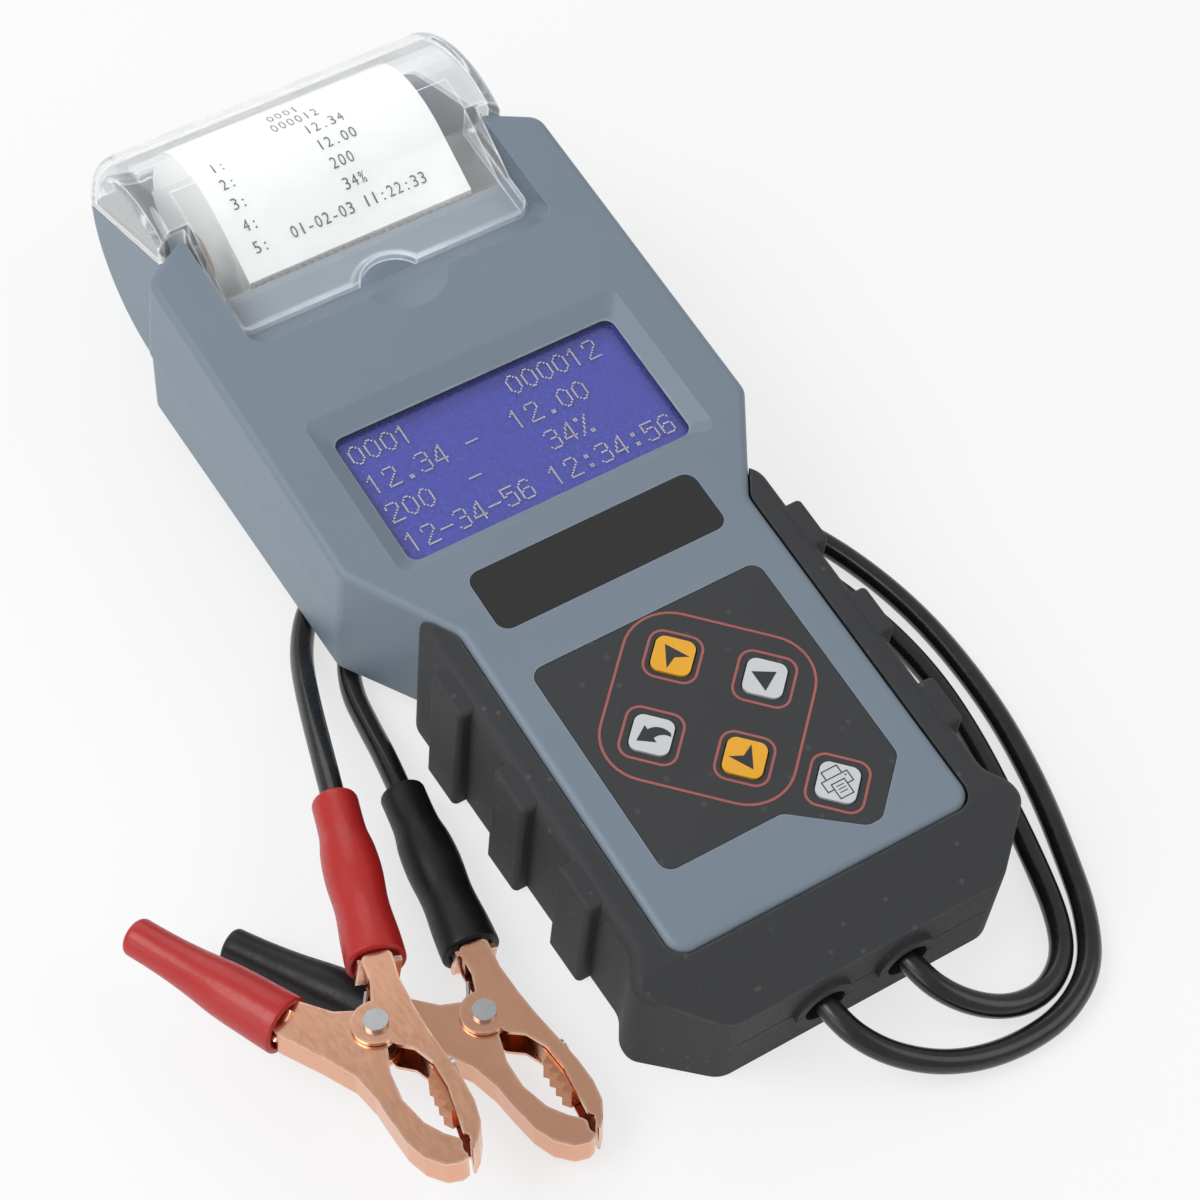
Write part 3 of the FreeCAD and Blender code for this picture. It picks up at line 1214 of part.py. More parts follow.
def main():
    """Build every piece, set the origin under the middle of the instrument and write the files."""
    face_parts = {}
    for group in (screen_parts(), keys(), board_parts(), printer_parts()):
        face_parts.update(group)
    parts = {name: on_case(shape) for name, shape in face_parts.items()}
    parts["front_shell"] = front_shell()
    parts["rear_shell"] = rear_shell()
    parts["rubber_boot"] = rubber_boot()
    parts["printer_door"] = printer_door()
    parts["hinge_pins"] = hinge_pins()
    parts["case_screws"] = case_screws()
    parts.update(paper_parts())
    parts.update(battery_parts())
    for side, name in ((-1, "left_gland"), (1, "right_gland")):
        parts[name] = cable_gland(side)
    boxes = [shape.optimalBoundingBox(False) for shape in parts.values()]
    middle = (min(b.YMin for b in boxes) + max(b.YMax for b in boxes)) / 2
    parts["red_lead"] = lead_tube("red_lead", -1, RED_ROUTE, RED_CLAMP)
    parts["black_lead"] = lead_tube("black_lead", 1, BLACK_ROUTE, BLACK_CLAMP)
    for colour, place in (("red", RED_CLAMP), ("black", BLACK_CLAMP)):
        for name, shape in clamp_parts(colour).items():
            shape.Placement = place.multiply(shape.Placement)
            parts[name] = shape
    shift = Vector(0, -middle, 0)
    os.makedirs("parts", exist_ok=True)
    for name, shape in sorted(parts.items()):
        placed = shape.translated(shift)
        placed.exportStep("parts/" + name + ".step")
        solids = placed.Solids
        fine = placed.isValid() and all(s.isValid() for s in solids)
        print(name, "solids", len(solids), "volume", round(placed.Volume, 1), "valid", fine)
    platen, idler, pinion, _ = gear_axes()
    print("shift", round(-middle, 3), "bay", bay_centre(), "hinge", hinge_axis())
    for name, place in (("platen", platen), ("idler", idler), ("pinion", pinion)):
        print(name, CASE_PLACE.multVec(Vector(0, place[0], place[1])) + shift)


main()
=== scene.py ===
"""Dressed model of a hand-held battery tester with a receipt printer, two leads and two clamps."""
import logging
import math
from dataclasses import dataclass, field
from enum import Enum
from typing import Sequence

import bmesh
import bpy
from mathutils import Euler, Matrix, Vector


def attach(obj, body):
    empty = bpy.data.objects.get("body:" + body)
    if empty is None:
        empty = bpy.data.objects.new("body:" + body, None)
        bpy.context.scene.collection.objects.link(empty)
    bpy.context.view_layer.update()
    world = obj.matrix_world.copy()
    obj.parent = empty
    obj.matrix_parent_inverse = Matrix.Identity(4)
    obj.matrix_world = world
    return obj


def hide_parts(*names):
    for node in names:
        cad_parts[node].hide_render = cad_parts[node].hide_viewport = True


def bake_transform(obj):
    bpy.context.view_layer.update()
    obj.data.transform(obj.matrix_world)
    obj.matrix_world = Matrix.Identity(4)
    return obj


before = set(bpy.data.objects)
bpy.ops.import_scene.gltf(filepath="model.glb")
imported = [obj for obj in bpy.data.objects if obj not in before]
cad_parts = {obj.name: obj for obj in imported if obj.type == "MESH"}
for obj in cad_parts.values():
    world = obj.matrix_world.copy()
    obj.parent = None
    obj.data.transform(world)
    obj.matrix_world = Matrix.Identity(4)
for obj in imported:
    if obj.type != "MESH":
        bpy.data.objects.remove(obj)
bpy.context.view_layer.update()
LOG = logging.getLogger("tester")

MM = 0.001
ROW_SHIFT = -30.369
TILT = math.radians(6.0)
FACE_ORIGIN = (0.0, ROW_SHIFT * MM, 40.3 * MM)
FACE = Matrix.Translation(FACE_ORIGIN) @ Matrix.Rotation(TILT, 4, "X") @ Matrix.Scale(MM, 4)
FILM = 0.03
ROLL_CENTRE = (129.9, 28.8)
SHARP_EDGE = math.radians(40)
AXIS_GAP = 0.02
FONT_TALL = 0.7

Socket = bpy.types.NodeSocket
Node = bpy.types.Node
NodeGroup = bpy.types.NodeTree
Material = bpy.types.Material
Piece = bpy.types.Object
Point2 = tuple[float, float]
Point3 = tuple[float, float, float]
Colour = tuple[float, float, float]


class Body(str, Enum):
    """Bodies of the packed model that carry new pieces."""

    CASE = "case"
    RED_JAW = "red_jaw"
    BLACK_JAW = "black_jaw"


class Side(Enum):
    """The two leads, each with the clamp at its end."""

    RED = "red"
    BLACK = "black"

    @property
    def jaw(self) -> Body:
        """Body that carries the moving half of this clamp."""
        return Body.RED_JAW if self is Side.RED else Body.BLACK_JAW


def srgb(red: int, green: int, blue: int) -> Colour:
    """Linear colour from the 0 to 255 values that a screen shows."""
    linear = []
    for value in (red, green, blue):
        share = value / 255
        linear.append(share / 12.92 if share <= 0.04045 else ((share + 0.055) / 1.055) ** 2.4)
    return linear[0], linear[1], linear[2]


def link_object(name: str, data: bpy.types.ID) -> Piece:
    """Put a data block into the scene.

    Args:
        name: Name of the new object.
        data: Mesh, curve, light or camera.

    Returns:
        The object, at the origin.
    """
    made = bpy.data.objects.new(name, data)
    bpy.context.scene.collection.objects.link(made)
    return made


def mesh_piece(name: str, verts: Sequence, faces: Sequence, place: Matrix, smooth: bool = True) -> Piece:
    """Make a mesh object with its place applied and its faces turned outwards.

    Args:
        name: Name of the piece.
        verts: Corners in the place's own units.
        faces: Corner numbers of each face.
        place: Matrix from those units to the row frame.
        smooth: Whether faces shade smoothly where the edge between them is shallow.

    Returns:
        The new object.
    """
    mesh = bpy.data.meshes.new(name)
    mesh.from_pydata([tuple(v) for v in verts], [], [tuple(f) for f in faces])
    mesh.transform(place)
    work = bmesh.new()
    work.from_mesh(mesh)
    bmesh.ops.recalc_face_normals(work, faces=work.faces)
    bmesh.ops.triangulate(work, faces=[f for f in work.faces if len(f.verts) > 4])
    for face in work.faces:
        face.smooth = smooth
    for edge in work.edges:
        if len(edge.link_faces) == 2 and edge.calc_face_angle() > SHARP_EDGE:
            edge.smooth = False
    work.to_mesh(mesh)
    work.free()
    return link_object(name, mesh)


def baked(holder: Piece) -> bpy.types.Mesh:
    """Plain mesh of what an object shows, with the object itself removed."""
    mesh = bpy.data.meshes.new_from_object(holder.evaluated_get(bpy.context.evaluated_depsgraph_get()))
    bpy.data.objects.remove(holder)
    return mesh


def strand(name: str, kind: str, points: Sequence[Vector], radius: float, rounding: int) -> bpy.types.Curve:
    """Round wire or cord along points.

    Args:
        name: Name of the curve.
        kind: Spline type.
        points: Points that it follows.
        radius: Half of its thickness.
        rounding: Fineness of its round section.

    Returns:
        The curve.
    """
    line = bpy.data.curves.new(name, "CURVE")
    line.dimensions = "3D"
    line.bevel_depth = radius
    line.bevel_resolution = rounding
    line.use_fill_caps = True
    thread = line.splines.new(kind)
    thread.points.add(len(points) - 1)
    for point, co in zip(thread.points, points):
        point.co = (*co, 1.0)
    return line


def settle(piece: Piece, material: Material, body: str, slot: str, *nodes: str) -> None:
    """Give a new piece its finish and its body.

    Args:
        piece: The new object.
        material: Finish of the piece.
        body: Body that it moves with.
        slot: Record slot that the finish stands for; not used.
        nodes: Packed nodes that the piece replaces.
    """
    piece.data.materials.clear()
    piece.data.materials.append(material)
    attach(piece, body)
    if nodes:
        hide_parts(*nodes)
    LOG.info("%s rides %s", piece.name, body)


def node_top(node: str) -> float:
    """Highest point of a packed node above the face, in millimetres."""
    back = FACE.inverted()
    return max((back @ v.co).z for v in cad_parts[node].data.vertices)


# Outlines and solids


def turned(points: Sequence[Point2], angle: float, centre: Point2) -> list[Point2]:
    """Turn points by an angle in degrees and move them to a centre."""
    c, s = math.cos(math.radians(angle)), math.sin(math.radians(angle))
    return [(centre[0] + x * c - y * s, centre[1] + x * s + y * c) for x, y in points]


def rounded_square(half: float, radius: float, steps: int = 10) -> list[Point2]:
    """Outline of a square with rounded corners, round the origin."""
    points = []
    for quarter in range(4):
        mid = math.radians(45 + 90 * quarter)
        cx = math.copysign(half - radius, math.cos(mid))
        cy = math.copysign(half - radius, math.sin(mid))
        for i in range(steps + 1):
            angle = mid + math.radians(-45 + 90 * i / steps)
            points.append((cx + radius * math.cos(angle), cy + radius * math.sin(angle)))
    return points


class Solid:
    """Corners and faces of closed flat shapes that are gathered into one piece."""

    def __init__(self) -> None:
        """Start with nothing."""
        self.verts: list[Point3] = []
        self.faces: list[Sequence[int]] = []

    def loops(self, rings: Sequence[Sequence[Point3]], closed: bool) -> None:
        """Skin rings of the same count, one after another.

        Args:
            rings: Rings of corners.
            closed: Whether the last ring joins the first.
        """
        base, count = len(self.verts), len(rings[0])
        for ring in rings:
            self.verts += ring
        pairs = len(rings) if closed else len(rings) - 1
        for k in range(pairs):
            a, b = base + k * count, base + ((k + 1) % len(rings)) * count
            for i in range(count):
                j = (i + 1) % count
                self.faces.append((a + i, a + j, b + j, b + i))

    def band(self, outer: Sequence[Point2], inner: Sequence[Point2], low: float, high: float) -> None:
        """Flat ring between two outlines of the same count."""
        rings = [[(x, y, z) for x, y in line] for line, z in
                 ((outer, low), (outer, high), (inner, high), (inner, low))]
        self.loops(rings, True)

    def plate(self, outline: Sequence[Point2], low: float, high: float) -> None:
        """Flat plate with the given outline."""
        base, count = len(self.verts), len(outline)
        self.loops([[(x, y, low) for x, y in outline], [(x, y, high) for x, y in outline]], False)
        self.faces.append(tuple(range(base + count, base + 2 * count)))
        self.faces.append(tuple(reversed(range(base, base + count))))

    def lathe(self, profile: Sequence[Point2], segments: int) -> None:
        """Closed shape turned about z from a closed profile of (height, radius) points."""
        rings = []
        for height, radius in profile:
            turn = [2 * math.pi * i / segments for i in range(segments)]
            rings.append([(radius * math.cos(a), radius * math.sin(a), height) for a in turn])
        self.loops(rings, True)


def smooth_profile(points: Sequence[Point2], steps: int) -> list[Point2]:
    """Soft curve through (distance, radius) points, level at both ends."""
    slopes = [0.0]
    for before, after in zip(points, points[2:]):
        slopes.append((after[1] - before[1]) / (after[0] - before[0]))
    slopes.append(0.0)
    soft = []
    for (x0, r0), (x1, r1), m0, m1 in zip(points, points[1:], slopes, slopes[1:]):
        run = x1 - x0
        for i in range(steps):
            t = i / steps
            value = (2 * t ** 3 - 3 * t ** 2 + 1) * r0 + (t ** 3 - 2 * t ** 2 + t) * run * m0
            value += (3 * t ** 2 - 2 * t ** 3) * r1 + (t ** 3 - t ** 2) * run * m1
            soft.append((x0 + run * t, value))
    return soft + [points[-1]]


# Node trees


class Tree:
    """Short way to fill a node tree."""

    def __init__(self, tree: NodeGroup) -> None:
        """Hold the tree."""
        self.tree = tree

    def add(self, kind: str, values: dict | None = None, **settings: object) -> Node:
        """Add a node.

        Args:
            kind: Node type.
            values: Unlinked values by socket name or number.
            settings: Properties of the node.

        Returns:
            The node.
        """
        node = self.tree.nodes.new(kind)
        for name, value in settings.items():
            setattr(node, name, value)
        self.fill(node, values or {})
        return node

    @staticmethod
    def fill(node: Node, values: dict) -> None:
        """Set unlinked sockets by name or number."""
        for key, value in values.items():
            node.inputs[key].default_value = value

    def link(self, start: Socket, end: Socket) -> None:
        """Join two sockets."""
        self.tree.links.new(start, end)

    def give(self, value: object, socket: Socket) -> None:
        """Link a socket, or set a plain value."""
        if isinstance(value, Socket):
            self.link(value, socket)
        else:
            socket.default_value = value

    def math(self, operation: str, first: object, second: object = 0.0, clamp: bool = False) -> Socket:
        """Arithmetic on two sockets or numbers."""
        node = self.add("ShaderNodeMath", operation=operation, use_clamp=clamp)
        for socket, value in zip(node.inputs, (first, second)):
            self.give(value, socket)
        return node.outputs[0]

    def spread(self, value: Socket, source: Point2, target: Point2) -> Socket:
        """Map a value from one range to another, held at the ends."""
        node = self.add("ShaderNodeMapRange", {1: source[0], 2: source[1], 3: target[0], 4: target[1]})
        self.link(value, node.inputs[0])
        return node.outputs[0]

    def mix(self, share: Socket, first: object, second: object) -> Socket:
        """Blend two colours by a share."""
        node = self.add("ShaderNodeMix", data_type="RGBA")
        self.link(share, node.inputs[0])
        for socket, value in ((node.inputs[6], first), (node.inputs[7], second)):
            self.give((*value, 1.0) if isinstance(value, tuple) else value, socket)
        return node.outputs[2]

    def either(self, share: Socket, first: Node, second: Node, out: Node) -> None:
        """Mix two shaders by a share and put the mix out."""
        both = self.add("ShaderNodeMixShader")
        for socket, value in zip(both.inputs, (share, first.outputs[0], second.outputs[0])):
            self.link(value, socket)
        self.link(both.outputs[0], out.inputs[0])

    def own(self) -> Socket:
        """The piece's own coordinates."""
        return self.add("ShaderNodeTexCoord").outputs["Object"]

    def split(self, vector: Socket) -> Sequence:
        """The X, Y and Z of a vector."""
        axes = self.add("ShaderNodeSeparateXYZ")
        self.link(vector, axes.inputs[0])
        return axes.outputs

    def facing(self) -> Socket:
        """Direction that the surface faces."""
        return self.add("ShaderNodeNewGeometry").outputs["Normal"]

    def noise(self, place: Socket, scale: Socket, detail: float) -> Socket:
        """Noise at a place, with its scale from a socket."""
        node = self.add("ShaderNodeTexNoise", {"Detail": detail})
        self.link(place, node.inputs["Vector"])
        self.link(scale, node.inputs["Scale"])
        return node.outputs[0]

    def moved(self, values: dict) -> Socket:
        """The piece's own coordinates, seen from another frame."""
        place = self.add("ShaderNodeMapping", values, vector_type="TEXTURE")
        self.link(self.own(), place.inputs[0])
        return place.outputs[0]


def group_shell(name: str, inputs: dict[str, object], outputs: Sequence[str]) -> tuple:
    """Start a shader group with named sockets.

    Args:
        name: Name of the group.
        inputs: First value by name: a number, or three for a vector.
        outputs: Names of the value outputs.

    Returns:
        The group, its tree helper, its input node and its output node.
    """
    group = bpy.data.node_groups.new(name, "ShaderNodeTree")
    for key, value in inputs.items():
        kind = "NodeSocketVector" if isinstance(value, tuple) else "NodeSocketFloat"
        group.interface.new_socket(key, in_out="INPUT", socket_type=kind).default_value = value
    for key in outputs:
        group.interface.new_socket(key, in_out="OUTPUT", socket_type="NodeSocketFloat")
    tree = Tree(group)
    return group, tree, tree.add("NodeGroupInput"), tree.add("NodeGroupOutput")


def grain_group() -> NodeGroup:
    """Cloudy tone, fine grain and scattered specks on the piece's own coordinates."""
    group, tree, feed, out = group_shell("surface_grain", {
        "Cloud Scale": 40.0, "Fine Scale": 1500.0, "Speck Scale": 300.0, "Stretch": (1.0, 1.0, 1.0),
    }, ("Cloud", "Fine", "Speck"))
    place = tree.own()
    drawn = tree.add("ShaderNodeVectorMath", operation="MULTIPLY")
    tree.link(place, drawn.inputs[0])
    tree.link(feed.outputs["Stretch"], drawn.inputs[1])
    for scale, output, detail in (("Cloud Scale", "Cloud", 4.0), ("Fine Scale", "Fine", 3.0)):
        noise = tree.noise(drawn.outputs[0], feed.outputs[scale], detail)
        tree.link(tree.spread(noise, (0.3, 0.7), (0.0, 1.0)), out.inputs[output])
    cells = tree.add("ShaderNodeTexVoronoi")
    tree.link(place, cells.inputs["Vector"])
    tree.link(feed.outputs["Speck Scale"], cells.inputs["Scale"])
    pick = tree.math("GREATER_THAN", cells.outputs["Color"], 0.62)
    near = tree.spread(cells.outputs["Distance"], (0.10, 0.22), (1.0, 0.0))
    tree.link(tree.math("MULTIPLY", pick, near), out.inputs["Speck"])
    return group


def edge_group() -> NodeGroup:
    """Edge mask, found from the difference between the face and a rounded edge; it places rubbed wear,
    painted highlights on the copper and the painted glow on clear rims.
    """
    group, tree, feed, out = group_shell("rubbed_edges", {
        "Radius": 0.0006, "Amount": 0.3, "Break Scale": 260.0}, ("Mask",))
    soft = tree.add("ShaderNodeBevel", samples=4)
    tree.link(feed.outputs["Radius"], soft.inputs["Radius"])
    same = tree.add("ShaderNodeVectorMath", operation="DOT_PRODUCT")
    tree.link(soft.outputs[0], same.inputs[0])
    tree.link(tree.facing(), same.inputs[1])
    edge = tree.spread(tree.math("SUBTRACT", 1.0, same.outputs["Value"]), (0.01, 0.16), (0.0, 1.0))
    noise = tree.noise(tree.own(), feed.outputs["Break Scale"], 3.0)
    broken = tree.math("MULTIPLY", edge, tree.spread(noise, (0.35, 0.65), (0.25, 1.0)))
    tree.link(tree.math("MULTIPLY", broken, feed.outputs["Amount"], True), out.inputs["Mask"])
    return group


def dust_group() -> NodeGroup:
    """Thin dust that lies on what faces up."""
    group, tree, feed, out = group_shell("settled_dust", {"Amount": 0.1, "Scale": 90.0}, ("Mask",))
    noise = tree.noise(tree.own(), feed.outputs["Scale"], 5.0)
    patch = tree.math("MULTIPLY", tree.spread(tree.split(tree.facing())["Z"], (0.2, 1.0), (0.0, 1.0)),
                      tree.spread(noise, (0.42, 0.7), (0.0, 1.0)))
    tree.link(tree.math("MULTIPLY", patch, feed.outputs["Amount"], True), out.inputs["Mask"])
    return group


@dataclass(frozen=True)
class Finish:
    """How one material looks."""

    name: str
    colour: Colour
    tone: Colour
    rough: Point2
    mottle: float = 0.5
    cloud: float = 60.0
    fine: float = 1800.0
    stretch: Point3 = (1.0, 1.0, 1.0)
    bump: float = 0.00002
    metallic: float = 0.0
    coat: float = 0.0
    specular: float = 0.5
    # Lighter colour along the edges and its share: rubbed wear on most finishes, a painted highlight on the
    # brushed copper.
    edge: Colour = (0.5, 0.5, 0.5)
    wear_and_highlight: float = 0.0
    wear_and_highlight_radius: float = 0.0006
    dust: float = 0.0
    speck: float = 0.0
    speck_scale: float = 300.0
    speck_colour: Colour = (0.3, 0.3, 0.3)


@dataclass
class Palette:
    """Makes the materials and keeps the shared groups."""

    grain: NodeGroup = field(default_factory=grain_group)
    edges: NodeGroup = field(default_factory=edge_group)
    dust: NodeGroup = field(default_factory=dust_group)

    def start(self, name: str) -> tuple[Material, Tree, Node]:
        """Begin a material with its shader and output joined."""
        made = bpy.data.materials.new(name)
        made.use_nodes = True
        made.node_tree.nodes.clear()
        tree = Tree(made.node_tree)
        shader = tree.add("ShaderNodeBsdfPrincipled")
        out = tree.add("ShaderNodeOutputMaterial")
        tree.link(shader.outputs[0], out.inputs[0])
        return made, tree, shader

    def placed(self, tree: Tree, group: NodeGroup, values: dict) -> Node:
        """Place a shared group in a material with its own values."""
        return tree.add("ShaderNodeGroup", values, node_tree=group)

    def make(self, f: Finish, tint: object = None) -> Material:
        """Build the material of a finish.

        Args:
            f: The finish.
            tint: Function that changes the colour, given the tree and the colour socket.

        Returns:
            The material.
        """
        made, tree, shader = self.start(f.name)
        grain = self.placed(tree, self.grain, {"Cloud Scale": f.cloud, "Fine Scale": f.fine,
                                               "Speck Scale": f.speck_scale, "Stretch": f.stretch})
        colour = tree.mix(tree.math("MULTIPLY", grain.outputs["Cloud"], f.mottle), f.colour, f.tone)
        if tint:
            colour = tint(tree, colour)
        if f.speck:
            share = tree.math("MULTIPLY", grain.outputs["Speck"], f.speck)
            colour = tree.mix(share, colour, f.speck_colour)
        # Edges lighten towards the edge colour: rubbed wear, and on the brushed copper a painted highlight.
        if f.wear_and_highlight:
            worn_and_lit = self.placed(tree, self.edges, {"Radius": f.wear_and_highlight_radius, "Amount": f.wear_and_highlight})
            colour = tree.mix(worn_and_lit.outputs["Mask"], colour, f.edge)
        if f.dust:
            film = self.placed(tree, self.dust, {"Amount": f.dust})
            colour = tree.mix(film.outputs["Mask"], colour, DUST_COLOUR)
        tree.link(colour, shader.inputs["Base Color"])
        tree.link(tree.spread(grain.outputs["Fine"], (0.0, 1.0), f.rough), shader.inputs["Roughness"])
        tree.fill(shader, {"Metallic": f.metallic, "Coat Weight": f.coat, "Specular IOR Level": f.specular,
                           "Coat Roughness": 0.08})
        if f.bump:
            bump = tree.add("ShaderNodeBump", {"Strength": 0.5, "Distance": f.bump})
            tree.link(grain.outputs["Fine"], bump.inputs["Height"])
            tree.link(bump.outputs[0], shader.inputs["Normal"])
        return made

    def clear(self, name: str, colour: Colour, rough: Point2, rim: float, wave: float,
              clarity: float = 1.0) -> Material:
        """Clear moulded plastic that lets light through to what lies behind it, with a painted glow on its
        rims.

        Args:
            name: Name of the material.
            colour: Tint of the plastic.
            rough: Range of roughness over the surface.
            rim: Strength of the painted glow on the rims.
            wave: Depth of the moulding's ripple.
            clarity: Share of light that goes through; the rest looks milky.

        Returns:
            The material.
        """
        made, tree, shader = self.start(name)
        grain = self.placed(tree, self.grain, {"Cloud Scale": 120.0, "Fine Scale": 420.0})
        cloud = tree.math("MULTIPLY", grain.outputs["Cloud"], 0.35)
        tint = tree.mix(cloud, colour, tuple(c * 0.97 for c in colour))
        tree.link(tint, shader.inputs["Base Color"])
        tree.link(tree.spread(grain.outputs["Fine"], (0.0, 1.0), rough), shader.inputs["Roughness"])
        tree.fill(shader, {"Transmission Weight": clarity, "IOR": 1.1, "Coat Weight": 1.0,
                           "Coat Roughness": 0.04, "Emission Strength": rim})
        bump = tree.add("ShaderNodeBump", {"Strength": 0.3, "Distance": wave})
        tree.link(grain.outputs["Cloud"], bump.inputs["Height"])
        tree.link(bump.outputs[0], shader.inputs["Normal"])
        through = tree.add("ShaderNodeBsdfTransparent", {0: (0.94, 0.95, 0.96, 1.0)})
        # Painted glow: emission along the rims stands in for light caught in the clear edges.
        edges = self.placed(tree, self.edges, {"Radius": 0.0011, "Amount": 1.0, "Break Scale": 40.0})
        glow = tree.mix(edges.outputs["Mask"], (0.0, 0.0, 0.0), RIM_GLOW)
        tree.link(glow, shader.inputs["Emission Color"])
        path = tree.add("ShaderNodeLightPath")
        out = next(n for n in made.node_tree.nodes if n.type == "OUTPUT_MATERIAL")
        tree.either(path.outputs["Is Shadow Ray"], shader, through, out)
        return made


DUST_COLOUR = srgb(196, 193, 188)
WOUND_COLOUR = srgb(186, 186, 182)
SCREEN_SHADE = srgb(34, 36, 116)
# Colour of the painted glow on clear rims.
RIM_GLOW = (0.8, 0.81, 0.82)

SHELL = Finish("shell_plastic", srgb(115, 129, 142), srgb(123, 137, 150), (0.40, 0.52), mottle=0.25,
               cloud=30.0, fine=2600.0, bump=0.000012, edge=srgb(160, 174, 187), wear_and_highlight=0.45)
BOOT = Finish("boot_rubber", srgb(52, 53, 55), srgb(57, 58, 60), (0.6, 0.76), mottle=0.3, cloud=35.0,
              fine=2400.0, bump=0.00003, specular=0.35, edge=srgb(92, 93, 95), wear_and_highlight=0.5, wear_and_highlight_radius=0.0009,
              speck=0.25, speck_scale=330.0, speck_colour=srgb(112, 112, 112))
OVERLAY = Finish("keypad_film", srgb(53, 54, 56), srgb(56, 57, 59), (0.42, 0.55), cloud=50.0, fine=3200.0,
                 bump=0.000008, specular=0.4, speck=0.15, speck_scale=260.0,
                 speck_colour=srgb(120, 120, 120))
LABEL = Finish("label_gloss", srgb(10, 10, 11), srgb(14, 14, 15), (0.06, 0.12), coat=0.9, fine=240.0,
               bump=0.0)
RED_VINYL = Finish("red_dipped_vinyl", srgb(170, 22, 21), srgb(184, 30, 27), (0.34, 0.48), cloud=70.0,
                   fine=900.0, bump=0.00003, coat=0.15, edge=srgb(206, 62, 54), wear_and_highlight=0.3)
BLACK_VINYL = Finish("black_dipped_vinyl", srgb(17, 17, 19), srgb(23, 23, 25), (0.36, 0.5), cloud=70.0,
                     fine=900.0, bump=0.00003, specular=0.35, edge=srgb(46, 47, 49), wear_and_highlight=0.3, dust=0.01)
LEAD_SKIN = Finish("lead_jacket", srgb(14, 14, 15), srgb(20, 20, 21), (0.2, 0.32), cloud=110.0, fine=700.0,
                   bump=0.00001, coat=0.2, dust=0.02)
# The copper's pale edge colour is a painted highlight on its rounded edges.
COPPER = Finish("brushed_copper", srgb(228, 172, 142), srgb(240, 190, 160), (0.16, 0.26), mottle=0.35,
                cloud=160.0, fine=1400.0, stretch=(1.0, 0.25, 1.0), bump=0.000002, metallic=1.0,
                edge=srgb(255, 226, 206), wear_and_highlight=1.0, wear_and_highlight_radius=0.0011)
DARK_COPPER = Finish("jaw_strip_copper", srgb(190, 128, 96), srgb(214, 154, 120), (0.24, 0.4), mottle=0.6,
                     cloud=300.0, fine=1400.0, stretch=(1.0, 0.25, 1.0), bump=0.000002, metallic=1.0)
ZINC = Finish("zinc_plate", srgb(188, 190, 192), srgb(206, 208, 210), (0.26, 0.4), cloud=300.0,
              fine=2200.0, bump=0.000008, metallic=1.0)
TEAR_STEEL = Finish("tear_steel", srgb(92, 93, 95), srgb(112, 113, 115), (0.4, 0.55), cloud=240.0,
                    fine=2400.0, bump=0.000008, metallic=0.8)
STEEL = Finish("plated_steel", srgb(170, 173, 177), srgb(190, 192, 196), (0.28, 0.42), cloud=240.0,
               fine=2400.0, bump=0.000008, metallic=1.0)
BLACK_PLASTIC = Finish("black_moulding", srgb(30, 30, 32), srgb(40, 40, 42), (0.45, 0.6), fine=2400.0)
BOARD = Finish("board_mask", srgb(24, 84, 48), srgb(34, 104, 60), (0.25, 0.4), cloud=220.0, fine=1400.0)
PLATEN = Finish("platen_rubber", srgb(40, 40, 42), srgb(52, 52, 54), (0.7, 0.85), fine=2600.0)
GEAR = Finish("gear_nylon", srgb(226, 224, 214), srgb(236, 234, 226), (0.38, 0.5))
CARD = Finish("core_card", srgb(170, 142, 108), srgb(188, 160, 126), (0.75, 0.9), cloud=380.0, fine=2600.0)
CELL = Finish("cell_wrap", srgb(40, 96, 66), srgb(50, 110, 78), (0.2, 0.34), cloud=120.0, fine=800.0)
YELLOW = Finish("key_yellow", srgb(228, 164, 40), srgb(234, 174, 52), (0.4, 0.52), cloud=160.0, fine=2600.0,
                bump=0.000008, edge=srgb(250, 214, 128), wear_and_highlight=0.3, wear_and_highlight_radius=0.0004)
GREY = Finish("key_grey", srgb(198, 202, 205), srgb(208, 211, 214), (0.38, 0.5), cloud=160.0, fine=2600.0,
              bump=0.000008, edge=srgb(228, 230, 232), wear_and_highlight=0.3, wear_and_highlight_radius=0.0004)
ICON = Finish("icon_ink", srgb(44, 45, 48), srgb(54, 55, 58), (0.45, 0.55), fine=3000.0, bump=0.0)
RING = Finish("ring_ink", srgb(158, 88, 84), srgb(172, 98, 92), (0.42, 0.52), fine=3000.0, bump=0.0)
PRINT = Finish("thermal_print", srgb(30, 30, 32), srgb(58, 58, 60), (0.6, 0.7), mottle=0.8, cloud=900.0,
               bump=0.0)
DOTS = Finish("screen_dots", srgb(184, 180, 164), srgb(200, 196, 180), (0.3, 0.4), cloud=300.0, bump=0.0)
PAPER = Finish("thermal_paper", srgb(238, 238, 235), srgb(244, 244, 242), (0.5, 0.62), cloud=180.0,
               fine=2800.0, bump=0.000006, specular=0.4)
SCREEN = Finish("screen_blue", srgb(54, 60, 150), srgb(60, 66, 156), (0.22, 0.3), fine=900.0, bump=0.0)


def wound_edges(tree: Tree, colour: Socket) -> Socket:
    """Fine rings of wound paper on the ends of the roll."""
    centre = (0.0, (ROLL_CENTRE[0] + ROW_SHIFT) * MM, ROLL_CENTRE[1] * MM)
    rings = tree.add("ShaderNodeTexWave", {"Scale": 520.0, "Distortion": 1.2, "Detail": 2.0},
                     wave_type="RINGS", rings_direction="X")
    tree.link(tree.moved({"Location": centre}), rings.inputs["Vector"])
    end = tree.math("GREATER_THAN", tree.math("ABSOLUTE", tree.split(tree.facing())["X"]), 0.8)
    share = tree.math("MULTIPLY", end, tree.math("MULTIPLY", rings.outputs["Fac"], 0.4))
    return tree.mix(share, colour, WOUND_COLOUR)


